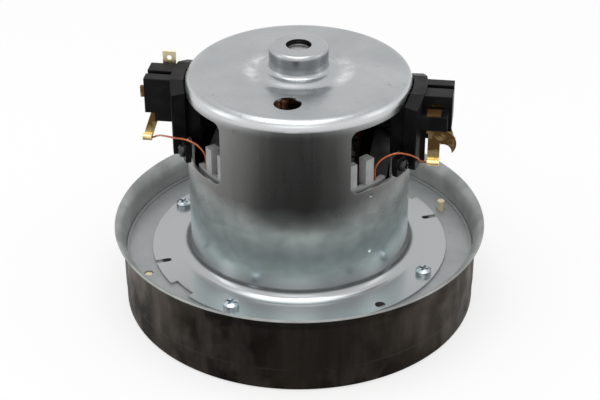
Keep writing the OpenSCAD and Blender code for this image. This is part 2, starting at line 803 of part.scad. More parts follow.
module flange_cuts() {
    depth = 2 * housing_sheet;
    for (k = [0 : 3])
        rotate([0, 0, screw_turn + 90 * k]) translate([screw_out, 0, plate_z1 - housing_sheet / 2])
            cylinder(d = screw_d + 2 * hole_gap, h = depth);
    both_ways() {
        rotate([0, 0, slot_turn]) translate([slot_in + slot_w / 2, 0, plate_z1 - housing_sheet / 2]) {
            cylinder(d = slot_w, h = depth);
            translate([0, -slot_w / 2, 0]) cube([flange_r - slot_in, slot_w, depth]);
        }
        translate([0, 0, plate_z1 - housing_sheet / 2])
            sector(flange_r + over, flange_r - notch_depth,
                   notch_turn - notch_angle / 2, notch_turn + notch_angle / 2, depth);
        rotate([0, 0, eyelet_turn]) translate([eyelet_out, 0, plate_z1 - housing_sheet / 2])
            cylinder(d = eyelet_d, h = depth);
    }
}

module stake(r_at, r) {
    for (z = stake_heights)
        both_ways() rotate([0, 0, stake_turn]) translate([r_at, 0, z]) sphere(r);
}

module motor_housing() {
    color(zinc_colour) difference() {
        union() {
            rotate_extrude() housing_profile();
            stake(body_in_r + stake_r / 3, stake_r);
        }
        both_ways() {
            window_cut();
            lug_holes();
        }
        flange_cuts();
        rotate([0, 0, -90]) translate([vent_out, 0, shoulder_z - 2 * housing_sheet])
            cylinder(d = vent_d, h = 3 * housing_sheet);
        stake(body_r + stake_r / 3, stake_r);
    }
}

// Fan drum
module cover_profile() {
    step_r = drum_r - step_in;
    flare_turn = 2 * atan(rim_flare / flare_h);
    flare_r = flare_h / sin(flare_turn);
    flare_cut = 2 * (flare_r + over);
    collar_r = inlet_r + cover_sheet + collar_bend;
    floor_bend_z = cover_sheet + collar_bend;
    strip([inlet_r, floor_bend_z], [inlet_r + cover_sheet, collar_h]);
    bend([collar_r, floor_bend_z], collar_bend, cover_sheet, false, false);
    strip([collar_r, 0], [step_r - base_edge_r, cover_sheet]);
    bend([step_r - base_edge_r, base_edge_r], base_edge_r - cover_sheet, cover_sheet, true, false);
    strip([step_r - cover_sheet, base_edge_r], [step_r, step_z]);
    polygon([
        [step_r - cover_sheet, step_z], [step_r, step_z],
        [drum_r, step_z + step_in], [drum_r - cover_sheet, step_z + step_in]
    ]);
    strip([drum_in_r, step_z + step_in], [drum_r, flare_z]);
    translate([drum_r + flare_r, flare_z]) intersection() {
        difference() {
            circle(flare_r + cover_sheet);
            circle(flare_r);
        }
        polygon([
            [0, 0], [-flare_cut, 0], [-flare_cut, flare_cut],
            flare_cut * [-cos(flare_turn), sin(flare_turn)]
        ]);
    }
}

module fan_cover() {
    color(drum_colour) rotate_extrude() cover_profile();
}

// Bracket plate with the lower bearing's cup
module bracket_profile() {
    strip([cup_in_r, plate_z0], [plate_r, plate_z1]);
    strip([plate_r - plate_sheet, plate_z1], [plate_r, plate_z1 + plate_lip]);
    strip([cup_in_r, plate_z1], [cup_r, lower_z1]);
    strip([lower_od / 2 - cup_lip, lower_z1], [cup_r, cup_z1]);
}

module fan_bracket() {
    color(zinc_colour) difference() {
        rotate_extrude() bracket_profile();
        translate([0, 0, plate_z0 - plate_sheet])
            for (k = [0 : air_count - 1])
                sector(air_out_r, air_in_r, 360 / air_count * k + air_arm / 2,
                       360 / air_count * (k + 1) - air_arm / 2, 3 * plate_sheet);
        for (k = [0 : 3])
            rotate([0, 0, screw_turn + 90 * k]) translate([screw_out, 0, plate_z0 - plate_sheet])
                cylinder(d = screw_d + 4 * press_gap, h = 3 * plate_sheet);
        translate([0, 0, plate_z0 - plate_sheet]) linear_extrude(3 * plate_sheet)
            both_ways() peg_spot(peg_d + 2 * hole_gap);
    }
}

module peg_spot(d) {
    rotate([0, 0, peg_turn]) translate([peg_out, 0]) circle(d = d);
}

// Diffuser: disc, return vanes, turning vanes, outer ring and locating pegs
module curved_vane(r_from, r_to, t) {
    intersection() {
        difference() {
            translate([blade_centre, 0]) circle(blade_curve_r + t / 2);
            translate([blade_centre, 0]) circle(blade_curve_r - t / 2);
        }
        difference() {
            circle(r_to);
            circle(r_from);
        }
        translate([-r_to, 0]) square(2 * r_to);
    }
}

module diffuser() {
    disc_r = disc_d / 2;
    ring_in = plate_r - ring_wall;
    vane_reach = screw_out - head_d / 2;
    tall = disc_t + vane_h;
    color(nylon_colour) translate([0, 0, diffuser_z0]) {
        ring(disc_r, spacer_d / 2 + 2 * axial_gap, disc_t);
        linear_extrude(tall) {
            difference() {
                circle(plate_r);
                circle(ring_in);
            }
            for (k = [0 : 2 * vane_count - 1])
                rotate([0, 0, 180 / vane_count * k])
                    translate([disc_r - vane_t / 2, -vane_t / 2]) square([ring_in - disc_r + vane_t, vane_t]);
            for (k = [0 : vane_count - 1])
                rotate([0, 0, 360 / vane_count * k]) mirror([0, 1]) curved_vane(vane_in, vane_reach, vane_t);
            both_ways() peg_spot(2 * peg_d);
        }
        translate([0, 0, disc_t]) {
            linear_extrude(vane_h + plate_sheet + peg_proud) peg_spot(peg_d);
            linear_extrude(vane_h + plate_sheet / 2) half_turn() peg_spot(peg_d);
        }
    }
}

module flange_screws() {
    color(steel_colour) for (k = [0 : 3])
        rotate([0, 0, screw_turn + 90 * k]) translate([screw_out, 0, flange_z1])
            pan_screw(screw_d, head_d, head_h, screw_l);
}

// Stator stack and its end insulators
module stator_outline(r) {
    shoe_half = shoe_angle / 2;
    reach = 3 * armature_r;
    difference() {
        intersection() {
            circle(r);
            square([stator_flats, 3 * stator_r], center = true);
        }
        difference() {
            intersection() {
                square([stator_flats - 2 * yoke_side, 2 * (stator_r - yoke_back)], center = true);
                circle(stator_r - yoke_corner);
            }
            square([pole_w, 2 * stator_r], center = true);
            intersection() {
                circle(bore_r + shoe_t);
                union() for (side = [-1, 1])
                    polygon([
                        [0, 0], [reach * sin(shoe_half), side * reach * cos(shoe_half)],
                        [-reach * sin(shoe_half), side * reach * cos(shoe_half)]
                    ]);
            }
        }
        circle(bore_r);
    }
}

module stator_core() {
    color(lamination_colour) translate([0, 0, stack_z0]) linear_extrude(stack_h) stator_outline(stator_r);
}

module coil_flanges(z0, z1) {
    for (side = [-1, 1]) {
        inner = coil_in - slide_gap - insulator_t;
        outer = coil_out + slide_gap;
        for (y = [inner, outer])
            translate([-pole_w / 2, min(side * y, side * (y + insulator_t)), z0])
                cube([pole_w, insulator_t, z1 - z0]);
    }
}

// Small stops on the coil flanges that the ends of a coil's wire butt against
module wire_stops() {
    size = [wire_stop_t, slide_gap + insulator_t / 2 + wire_stop_reach, wire_stop_h];
    both_ways() {
        translate([coil_end_l, coil_in - slide_gap - insulator_t / 2, wire_stop_z]) cube(size);
        translate([-coil_end_l - wire_stop_t, coil_out - wire_stop_reach, wire_stop_z]) cube(size);
    }
}

module posts() {
    for (side_x = [0, 1], side_y = [0, 1])
        mirror([side_x, 0, 0]) mirror([0, side_y, 0]) {
            rotate([0, 0, post_turn])
                translate([insulator_r - post_inset - post_w, -post_w / 2, stack_z1])
                    cube([post_w, post_w, post_h]);
            rotate([0, 0, slim_turn])
                translate([insulator_r - rim_inset - slim_w, -slim_w / 2, stack_z1])
                    cube([slim_w, slim_w, post_h]);
            translate([0, 0, stack_z1]) intersection() {
                sector(insulator_r - rim_inset, insulator_r - rim_inset - rim_wall_t,
                       ear_turn + rim_ends[0], slim_turn + rim_ends[1], rim_wall_h);
                translate([0, 0, -over]) cube([stator_flats / 2, stator_r, rim_wall_h + 2 * over]);
            }
        }
}

module upper_insulator() {
    color(pale_colour) {
        translate([0, 0, stack_z1]) linear_extrude(insulator_t) stator_outline(insulator_r);
        coil_flanges(stack_z1, flange_top_z);
        wire_stops();
        posts();
    }
}

module lower_insulator() {
    color(pale_colour) {
        translate([0, 0, stack_z0 - insulator_t]) linear_extrude(insulator_t) stator_outline(insulator_r);
        coil_flanges(2 * coil_z - flange_top_z, stack_z0);
    }
}

module coil_core() {
    points = [for (k = [0 : 2 * coil_rings - 1]) coil_point(coil_core_w, coil_core_h, 180 * k / coil_rings)];
    translate([0, coil_out, coil_z]) rotate([90, 0, 0]) linear_extrude(coil_deep) difference() {
        polygon(points);
        square([2 * coil_half_w, 2 * coil_half_h], center = true);
    }
}

module field_coil() {
    path = coil_path();
    coil_core();
    translate([0, 0, coil_z]) tube(path, coil_outs(path), coil_wire_d, coil_sides);
}

module field_coil_rear() {
    color(copper_colour) field_coil();
}

module field_coil_front() {
    color(copper_colour) half_turn() field_coil();
}

// Brush holder for the +X window
module ear_screw_place(side) {
    rotate([0, 0, side * ear_turn]) translate([ear_r1, 0, ear_screw_z]) rotate([0, 90, 0]) children();
}

// Saddle with a screw ear on each side, cut from one curved piece
module saddle() {
    far = ear_turn + ear_half;
    tall = saddle_z1 - saddle_z0 + over;
    reach = saddle_r1 + over;
    fall = (reach - saddle_flat) * tan(saddle_slope);
    difference() {
        translate([0, 0, saddle_z0]) sector(saddle_r1, saddle_r0, -far, far, tall);
        for (side = [0, 1])
            mirror([0, side, 0]) translate([0, 0, saddle_z0]) {
                translate([0, 0, -over]) sector(reach, ear_r1, saddle_half, far + over, tall + 2 * over);
                translate([0, 0, ear_h])
                    sector(reach + over, saddle_r0 - over, saddle_half, far + 2 * over, tall);
            }
        translate([saddle_r0 - saddle_t, 0, saddle_z1]) rotate([90, 0, 90]) linear_extrude(3 * saddle_t)
            polygon([
                [-reach, -fall], [-saddle_flat, 0], [saddle_flat, 0], [reach, -fall],
                [reach, 2 * over], [-reach, 2 * over]
            ]);
    }
}

module holder_body() {
    guide_half_w = tube_half_w + guide_wall;
    guide_half_h = tube_half_h + guide_wall;
    block_in = saddle_r0 + block_root;
    saddle();
    difference() {
        translate([block_in, -block_w / 2, block_z0]) cube([block_out - block_in, block_w, block_h]);
        translate([block_out - block_notch_l, -block_w, block_z0 - over])
            cube([block_notch_l + over, 2 * block_w, block_notch_h + over]);
    }
    translate([guide_in, -guide_half_w, brush_z - guide_half_h])
        cube([block_in + over - guide_in, 2 * guide_half_w, 2 * guide_half_h]);
    translate([root_in, -root_w / 2, saddle_z0 + root_lift])
        cube([block_in + over - root_in, root_w, brush_z + guide_half_h - saddle_z0 - root_lift]);
    translate([pocket_x0, -block_w / 2 - pocket_out, pocket_z0])
        cube([pocket_l, pocket_out + block_root, pocket_h]);
    translate([terminal_x0 - support_leg_gap - support_leg_w, terminal_y + brass_sheet, saddle_z0])
        cube([support_leg_w, support_leg_t, pocket_z0 - saddle_z0 + over]);
}

module holder_cuts() {
    cut = slide_gap / 2;
    translate([guide_in - over, -tube_half_w - cut, brush_z - tube_half_h - cut])
        cube([tube_out + cut - guide_in + over, 2 * (tube_half_w + cut), 2 * (tube_half_h + cut)]);
    translate([tube_out - over, -tube_wall - cut, brush_z - tail_h / 2 - cut])
        cube([block_out - tube_out + 2 * over, 2 * (tube_wall + cut), tail_h + 2 * cut]);
    translate([saddle_r1, groove_shift - groove_w / 2, block_z1 - groove_depth])
        cube([block_out - saddle_r1 + over, groove_w, groove_depth + over]);
    translate([tube_out - tube_window[0] - tube_window_in, -block_w / 2 - over, pocket_z1 + slide_gap])
        cube([tube_window[0], block_w / 2 + over - tube_half_w, tube_window[1]]);
    translate([tab_x0 - cut, terminal_y - brass_sheet / 2 - cut, pocket_z0 - over])
        cube([tab_w + 2 * cut, brass_sheet + 2 * cut, pocket_h + 2 * over]);
    translate([0, clip_y, 0]) clip_slot();
    for (side = [-1, 1])
        ear_screw_place(side) translate([0, 0, -2 * ear_t])
            cylinder(d = ear_screw_d + 2 * hole_gap, h = 3 * ear_t);
}

module clip_slot() {
    cut = slide_gap / 2;
    translate([clip_pivot[0], 0, clip_pivot[1]]) rotate([0, -clip_lean, 0])
        translate([-clip_w / 2 - cut, -brass_sheet / 2 - cut, -clip_l])
            cube([clip_w + 2 * cut, brass_sheet + 2 * cut, clip_l + cut]);
}

module brush_holder() {
    difference() {
        holder_body();
        holder_cuts();
    }
}

module brush_holder_right() {
    color(black_colour) brush_holder();
}

module brush_holder_left() {
    color(black_colour) half_turn() brush_holder();
}

module holder_screws() {
    color(steel_colour) both_ways() for (side = [-1, 1])
        ear_screw_place(side) pan_screw(ear_screw_d, ear_head_d, ear_head_h, ear_screw_l);
}

// Brush tube, closed at its outer end but for the tail, which ends level with the holder or stands out of it
module brush_tube(tail) {
    inner_w = 2 * (tube_half_w - tube_wall);
    inner_h = 2 * (tube_half_h - tube_wall);
    translate([0, 0, brush_z]) {
        difference() {
            translate([tube_in, -tube_half_w, -tube_half_h])
                cube([tube_out - tube_in, 2 * tube_half_w, 2 * tube_half_h]);
            translate([tube_in - over, -inner_w / 2, -inner_h / 2])
                cube([tube_face - tube_in + over, inner_w, inner_h]);
        }
        translate([tube_out - tube_wall / 2, -tube_wall, -tail_h / 2])
            cube([block_out + tail - tube_out + tube_wall / 2, 2 * tube_wall, tail_h]);
    }
}

module brush_tube_right() {
    color(brass_colour) brush_tube(0);
}

module brush_tube_left() {
    color(brass_colour) half_turn() brush_tube(tail_out);
}

// Carbon brush with its face ground to the commutator
module brush() {
    color(carbon_colour) difference() {
        translate([commutator_r / 2, -brush_w / 2, brush_z - brush_t / 2])
            cube([brush_out - commutator_r / 2, brush_w, brush_t]);
        translate([0, 0, brush_z - brush_t]) cylinder(r = brush_in, h = 2 * brush_t);
    }
}

module brush_right() {
    brush();
}

module brush_left() {
    half_turn() brush();
}

module brush_spring() {
    path = spring_path();
    color(steel_colour) translate([0, 0, brush_z]) tube(path, spring_outs(path), spring_wire_d, coil_sides);
}

module brush_spring_right() {
    brush_spring();
}

module brush_spring_left() {
    half_turn() brush_spring();
}

// Brass clip that joins a coil lead to the brush tube, on the far side of the +X holder
module brush_clip() {
    color(brass_colour) {
        translate([clip_pivot[0], clip_y, clip_pivot[1]]) rotate([0, -clip_lean, 0])
            translate([-clip_w / 2, -brass_sheet / 2, -clip_l]) cube([clip_w, brass_sheet, clip_l]);
        translate([clip_end[0] - clip_w / 2, clip_end[1], clip_end[2]]) crimp(clip_w);
    }
}

// A crimp barrel along X, open for its lead
module crimp(length) {
    difference() {
        rotate([0, 90, 0]) cylinder(d = crimp_d, h = length);
        translate([-over, 0, 0]) rotate([0, 90, 0]) cylinder(d = lead_d + slide_gap, h = length + 2 * over);
    }
}

module brush_clip_right() {
    brush_clip();
}

module brush_clip_left() {
    half_turn() brush_clip();
}

// Line terminal: tongue in the pocket, leg with a crimp and a hook
module terminal_outline() {
    hook_x = pocket_x1 - hook_inset;
    hook_z = pocket_z0 - head_l;
    strip([tab_x0, pocket_z0 - tongue_l], [tab_x0 + tab_w, pocket_z1]);
    strip([terminal_x0, leg_bottom_z], [terminal_x0 + leg_w, pocket_z0 - head_gap]);
    strip([terminal_x0, hook_z], [hook_x + over, pocket_z0 - head_gap]);
    difference() {
        intersection() {
            translate([hook_x, hook_z]) circle(hook_r);
            strip([hook_x - hook_shift, hook_z - hook_r + over], [hook_x + 2 * hook_r, hook_z + hook_r]);
        }
        translate([hook_x + hook_shift, hook_z - hook_in_r - hook_shift / 2]) circle(hook_in_r);
    }
}

module terminal_plate() {
    translate([0, terminal_y + brass_sheet / 2, 0]) rotate([90, 0, 0])
        linear_extrude(brass_sheet) terminal_outline();
    translate([leg_crimp[0], leg_crimp[1], leg_crimp_z]) crimp(leg_w);
}

module terminal_right() {
    color(brass_colour) {
        terminal_plate();
        translate([tab_x0, tab_inset - block_w / 2 - pocket_out, pocket_z1])
            cube([tab_w, pocket_out - 2 * tab_inset, brass_sheet]);
    }
}

module terminal_left() {
    color(brass_colour) half_turn() {
        terminal_plate();
        difference() {
            translate([tab_x0, terminal_y - brass_sheet / 2, pocket_z1 - over])
                cube([tab_w, brass_sheet, tab_h + over]);
            translate([tab_x0 + tab_w / 2, terminal_y + brass_sheet, pocket_z1 + tab_h - tab_w / 2])
                rotate([90, 0, 0]) cylinder(d = tab_hole_d, h = 2 * brass_sheet);
        }
    }
}

// Coil leads
module lead(route) {
    path = smooth(route, lead_steps);
    side = unit([route[0][1], -route[0][0], 0]);
    color(copper_colour) tube(path, [for (p = path) side], lead_d, lead_sides);
}

module lead_front_right() {
    lead(front_right_route);
}

module lead_front_left() {
    lead(front_left_route);
}

module lead_rear_left() {
    half_turn() lead(front_right_route);
}

module lead_rear_right() {
    half_turn() lead(front_left_route);
}

// Ball bearings
function pitch_r(bore, od) = (bore + od) / 4;
race_side = 0.27;

module race(bore, od, w, ball) {
    translate([pitch_r(bore, od), w / 2]) circle(ball / 2 + ball_gap);
}

module outer_ring(bore, od, w, ball) {
    inner = pitch_r(bore, od) + race_side * ball;
    rotate_extrude() difference() {
        strip([inner, 0], [od / 2, w]);
        race(bore, od, w, ball);
    }
}

module inner_ring(bore, od, w, ball) {
    outer = pitch_r(bore, od) - race_side * ball;
    rotate_extrude() difference() {
        strip([bore / 2 + press_gap, 0], [outer, w]);
        race(bore, od, w, ball);
    }
}

module balls_and_cage(bore, od, w, ball) {
    middle = pitch_r(bore, od);
    cage_half = 0.15 * ball;
    cage_h = 1.22 * ball;
    for (k = [0 : ball_count - 1])
        rotate([0, 0, 360 / ball_count * k]) translate([middle, 0, w / 2]) sphere(d = ball);
    difference() {
        translate([0, 0, (w - cage_h) / 2]) ring(middle + cage_half, middle - cage_half, cage_h);
        for (k = [0 : ball_count - 1])
            rotate([0, 0, 360 / ball_count * k]) translate([middle - 2 * cage_half, 0, w / 2])
                rotate([0, 90, 0]) cylinder(r = ball / 2 + ball_gap, h = 4 * cage_half);
    }
}

module shields(bore, od, w, ball) {
    shield_t = 0.3;
    inner = pitch_r(bore, od) - race_side * ball + slide_gap;
    outer = pitch_r(bore, od) + race_side * ball - press_gap;
    for (z = [0, w - shield_t])
        translate([0, 0, z]) ring(outer, inner, shield_t);
}

module upper_bearing_outer() {
    color(steel_colour) translate([0, 0, upper_z0]) outer_ring(upper_bore, upper_od, upper_w, upper_ball);
}

module upper_bearing_inner() {
    color(steel_colour) translate([0, 0, upper_z0]) inner_ring(upper_bore, upper_od, upper_w, upper_ball);
}

module upper_bearing_balls() {
    color(steel_colour) translate([0, 0, upper_z0]) balls_and_cage(upper_bore, upper_od, upper_w, upper_ball);
}

module lower_bearing_outer() {
    color(steel_colour) translate([0, 0, lower_z0]) outer_ring(lower_bore, lower_od, lower_w, lower_ball);
}

module lower_bearing_inner() {
    color(steel_colour) translate([0, 0, lower_z0]) inner_ring(lower_bore, lower_od, lower_w, lower_ball);
}

module lower_bearing_balls() {
    color(steel_colour) translate([0, 0, lower_z0]) balls_and_cage(lower_bore, lower_od, lower_w, lower_ball);
}

module bearing_shields() {
    color(steel_colour) {
        translate([0, 0, upper_z0]) shields(upper_bore, upper_od, upper_w, upper_ball);
        translate([0, 0, lower_z0]) shields(lower_bore, lower_od, lower_w, lower_ball);
    }
}

module preload_washer() {
    outer = upper_od / 2 - boss_edge_r + housing_sheet;
    color(steel_colour) translate([0, 0, upper_z1])
        ring(outer, pitch_r(upper_bore, upper_od) + race_side * upper_ball, washer_h);
}

// Rotor
module shaft() {
    chamfer = 0.5;
    color(steel_colour) rotate_extrude() polygon([
        [0, shaft_z0], [thread_d / 2 - chamfer, shaft_z0], [thread_d / 2, shaft_z0 + chamfer],
        [thread_d / 2, clamp_z0], [lower_bore / 2, clamp_z0], [lower_bore / 2, lower_z1],
        [shaft_r, lower_z1], [shaft_r, upper_z0], [upper_bore / 2, upper_z0],
        [upper_bore / 2, shaft_z1 - chamfer], [upper_bore / 2 - chamfer, shaft_z1], [0, shaft_z1]
    ]);
}

module armature_core() {
    color(lamination_colour) translate([0, 0, stack_z0]) linear_extrude(stack_h) difference() {
        circle(armature_r);
        circle(shaft_bore_r);
        for (k = [0 : slot_count - 1])
            rotate([0, 0, 360 / slot_count * k]) {
                translate([slot_out, 0]) circle(d = slot_d);
                translate([slot_out, -slot_d / 4]) square([slot_deep + over, slot_d / 2]);
            }
    }
}

// End turns above and below the core, joined by a bar of wire through each slot
module armature_winding() {
    edge = 2.5;
    inner = shaft_r + edge;
    color(copper_colour) {
        rotate_extrude() end_turns(inner, stack_z1 + end_disc_t, end_turn_h, edge);
        rotate_extrude() end_turns(inner, lower_turns_z0, lower_turns_h, edge);
        for (k = [0 : slot_count - 1])
            rotate([0, 0, 360 / slot_count * k]) translate([slot_out, 0, stack_z0 - end_disc_t - edge / 2])
                cylinder(r = winding_bar_r, h = stack_h + 2 * end_disc_t + edge);
    }
}

module end_turns(inner, z, h, edge) {
    strip([inner + edge, z], [end_turn_r - edge, z + h]);
    strip([inner, z + edge], [end_turn_r, z + h - edge]);
    for (r = [inner + edge, end_turn_r - edge], y = [z + edge, z + h - edge])
        translate([r, y]) circle(edge);
}

module armature_end_discs() {
    outer = slot_out - slot_d / 2 - slide_gap;
    color(phenolic_colour) for (z = [stack_z0 - end_disc_t, stack_z1])
        translate([0, 0, z]) ring(outer, shaft_bore_r, end_disc_t);
}

module commutator_bars() {
    gap_turn = 2 * asin(bar_gap / 2 / commutator_r);
    step = 360 / slot_count;
    color(copper_colour) translate([0, 0, commutator_z0]) for (k = [0 : slot_count - 1]) {
        sector(commutator_r, hub_r, k * step + gap_turn / 2, (k + 1) * step - gap_turn / 2, commutator_h);
        sector(commutator_r + riser_out, commutator_r - bar_depth / 4,
               (k + 0.25) * step, (k + 0.75) * step, riser_h);
    }
}

module commutator_hub() {
    proud = 0.6;
    color(phenolic_colour) translate([0, 0, commutator_z0 - proud])
        ring(hub_r - press_gap, shaft_bore_r, commutator_h + 2 * proud);
}

// Impeller
module impeller_backplate() {
    color(alloy_colour) translate([0, 0, back_z0]) ring(impeller_r, lower_bore / 2 + press_gap, back_sheet);
}

shroud_lip = 0.6;
function shroud_top(r) =
    shroud_z0 + fan_sheet + shroud_lip + shroud_rise * (r - eye_r) / (impeller_r - eye_r);

module impeller_shroud() {
    color(alloy_colour) rotate_extrude() polygon([
        [eye_r, shroud_z0], [eye_r + fan_sheet, shroud_z0],
        [eye_r + fan_sheet, shroud_top(eye_r + fan_sheet) - fan_sheet],
        [impeller_r, shroud_top(impeller_r) - fan_sheet], [impeller_r, shroud_top(impeller_r)],
        [eye_r, shroud_top(eye_r)]
    ]);
}

module impeller_blades() {
    from = eye_r + fan_sheet;
    to = impeller_r - fan_sheet / 2;
    color(alloy_colour) intersection() {
        translate([0, 0, shroud_z0]) linear_extrude(impeller_h) for (k = [0 : blade_count - 1])
            rotate([0, 0, 360 / blade_count * k]) curved_vane(from, to, fan_sheet);
        rotate_extrude() polygon([
            [from - over, shroud_top(from - over) + press_gap],
            [to + over, shroud_top(to + over) + press_gap],
            [to + over, back_z0], [from - over, back_z0]
        ]);
    }
}

module fan_spacer() {
    color(steel_colour) translate([0, 0, impeller_z1])
        ring(spacer_d / 2, lower_bore / 2 + press_gap, lower_z0 - impeller_z1);
}

module clamp_washer() {
    color(steel_colour) translate([0, 0, clamp_z0]) ring(clamp_d / 2, lower_bore / 2 + press_gap, clamp_t);
}

module fan_nut() {
    color(steel_colour) translate([0, 0, nut_z0]) linear_extrude(nut_h) difference() {
        circle(d = nut_flats / cos(30), $fn = 6);
        circle(thread_d / 2 + press_gap);
    }
}

motor_housing();
fan_cover();
fan_bracket();
diffuser();
flange_screws();
stator_core();
upper_insulator();
lower_insulator();
field_coil_front();
field_coil_rear();
brush_holder_left();
brush_holder_right();
holder_screws();
brush_tube_left();
brush_tube_right();
brush_spring_left();
brush_spring_right();
brush_left();
brush_right();
brush_clip_left();
brush_clip_right();
terminal_left();
terminal_right();
lead_front_left();
lead_front_right();
lead_rear_left();
lead_rear_right();
preload_washer();
upper_bearing_outer();
upper_bearing_inner();
upper_bearing_balls();
lower_bearing_outer();
lower_bearing_inner();
lower_bearing_balls();
bearing_shields();
shaft();
armature_core();
armature_winding();
armature_end_discs();
commutator_bars();
commutator_hub();
impeller_backplate();
impeller_blades();
impeller_shroud();
fan_spacer();
clamp_washer();
fan_nut();
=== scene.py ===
# %% [markdown]
# A vacuum cleaner's motor: a plated housing on a wide fan drum, with a brush holder in a window on each side.
# The shapes come from the imported CAD model, which is loaded as a fixed frame and never moved. Blender adds
# what solids can't carry well: the finishes, the wound wire and the light.

# %% Load the frame
import bpy
import json
import math
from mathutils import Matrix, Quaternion, Vector


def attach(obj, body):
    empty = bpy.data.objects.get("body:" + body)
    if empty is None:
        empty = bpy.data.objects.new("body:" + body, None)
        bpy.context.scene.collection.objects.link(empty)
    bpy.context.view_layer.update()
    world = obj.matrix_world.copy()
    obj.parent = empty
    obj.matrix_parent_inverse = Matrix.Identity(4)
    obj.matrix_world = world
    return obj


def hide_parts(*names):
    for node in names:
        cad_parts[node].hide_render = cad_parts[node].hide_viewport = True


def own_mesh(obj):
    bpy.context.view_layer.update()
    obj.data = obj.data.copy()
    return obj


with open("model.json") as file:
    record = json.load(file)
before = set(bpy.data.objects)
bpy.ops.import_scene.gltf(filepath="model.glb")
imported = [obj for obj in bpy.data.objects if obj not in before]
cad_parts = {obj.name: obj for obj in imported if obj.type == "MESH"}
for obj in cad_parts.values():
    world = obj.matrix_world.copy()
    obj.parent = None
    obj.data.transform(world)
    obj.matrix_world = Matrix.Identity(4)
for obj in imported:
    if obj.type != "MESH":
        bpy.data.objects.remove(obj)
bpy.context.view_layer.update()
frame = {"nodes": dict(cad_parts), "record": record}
nodes = frame["nodes"]
MM = 0.001

# %% [markdown]
# The camera stands where the picture was taken from: a little over half a metre away, 31 degrees up and
# slightly to the right. Its place was found from the ellipses of the rim, the drum and the boss. Aiming by
# a direction vector is shorter than working out three angles, and a small roll levels the rim.

# %% Camera
camera_spot = Vector((0.0698, -0.4845, 0.3312))
aim_spot = Vector((0.0, 0.0, 0.03797))
camera_roll = -0.004
camera_data = bpy.data.cameras.new("camera")
camera_data.lens = 93.18
camera_data.sensor_width = 36
camera_data.shift_x = 0.0012
camera_data.clip_start = 0.01
camera = bpy.data.objects.new("camera", camera_data)
camera.location = camera_spot
camera.rotation_mode = "QUATERNION"
aim = (aim_spot - camera_spot).to_track_quat("-Z", "Y")
camera.rotation_quaternion = aim @ Quaternion((0, 0, 1), camera_roll)
bpy.context.scene.collection.objects.link(camera)
bpy.context.scene.camera = camera
print("camera distance mm:", round((aim_spot - camera_spot).length / MM))

# %% [markdown]
# Bright metal shows its surroundings more than its own colour, so the studio is made for the housing. A
# white surround lights it from all sides. The floor is pale paint, lifted most of the way to white for the
# camera and for reflections, and the share that stays paint keeps the shadow. Stronger lamps could whiten
# the floor too, but they would bleach the motor as well. The floor's underside is clear, so that a look
# from below isn't blocked.

# %% Surround and floor
scene = bpy.context.scene
scene.view_settings.view_transform = "Standard"
SURROUND_LIGHT = 0.7
FLOOR_LIFT = 0.7
FLOOR_RADIUS = 4.0
FLOOR_HEIGHT = -0.1 * MM
CIRCLE_CORNERS = 96


def seen_ray(tree):
    """A value that is 1 for rays from the camera, a mirror or clear glass."""
    path = tree.nodes.new("ShaderNodeLightPath")
    total = path.outputs["Is Camera Ray"]
    for name in ("Is Glossy Ray", "Is Transmission Ray"):
        either = tree.nodes.new("ShaderNodeMath")
        either.operation = "MAXIMUM"
        tree.links.new(total, either.inputs[0])
        tree.links.new(path.outputs[name], either.inputs[1])
        total = either.outputs[0]
    return total


world = bpy.data.worlds.new("studio")
scene.world = world
world.use_nodes = True
backing = world.node_tree.nodes["Background"]
backing.inputs["Color"].default_value = (1, 1, 1, 1)
lift = world.node_tree.nodes.new("ShaderNodeMapRange")
lift.inputs["To Min"].default_value = SURROUND_LIGHT
lift.inputs["To Max"].default_value = 1.0
world.node_tree.links.new(seen_ray(world.node_tree), lift.inputs["Value"])
world.node_tree.links.new(lift.outputs["Result"], backing.inputs["Strength"])

bpy.ops.mesh.primitive_circle_add(vertices=CIRCLE_CORNERS, radius=FLOOR_RADIUS, fill_type="NGON",
                                  location=(0, 0, FLOOR_HEIGHT))
floor = bpy.context.object
floor.name = "floor"
paint = bpy.data.materials.new("floor_paint")
paint.use_nodes = True
tree = paint.node_tree
matt = tree.nodes["Principled BSDF"]
matt.inputs["Base Color"].default_value = (0.9, 0.9, 0.9, 1)
matt.inputs["Roughness"].default_value = 0.9
matt.inputs["Specular IOR Level"].default_value = 0.1
white = tree.nodes.new("ShaderNodeEmission")
share = tree.nodes.new("ShaderNodeMapRange")
share.inputs["To Max"].default_value = FLOOR_LIFT
tree.links.new(seen_ray(tree), share.inputs["Value"])
lifted = tree.nodes.new("ShaderNodeMixShader")
tree.links.new(share.outputs["Result"], lifted.inputs[0])
tree.links.new(matt.outputs[0], lifted.inputs[1])
tree.links.new(white.outputs[0], lifted.inputs[2])
clear = tree.nodes.new("ShaderNodeBsdfTransparent")
side = tree.nodes.new("ShaderNodeNewGeometry")
one_sided = tree.nodes.new("ShaderNodeMixShader")
tree.links.new(side.outputs["Backfacing"], one_sided.inputs[0])
tree.links.new(lifted.outputs[0], one_sided.inputs[1])
tree.links.new(clear.outputs[0], one_sided.inputs[2])
tree.links.new(one_sided.outputs[0], tree.nodes["Material Output"].inputs["Surface"])
floor.data.materials.append(paint)
print("floor radius m:", FLOOR_RADIUS, "surround light:", SURROUND_LIGHT)

# %% [markdown]
# Four soft lamps draw the highlights on the shoulder and the flange: a large one overhead, one in front and
# one on each side. Blender asks for a lamp's power, but what the metal mirrors is how bright the lamp's
# face looks, so the function takes that. A dark card lies on the floor in front, as is usual for pictures
# of bright metal, and shows only in reflections. The upright walls mirror it, which gives the housing and
# the drum their dark fronts. Dark paint on the walls would stay dark from every side. The card fades out
# towards its edge, so that no line shows in the metal.

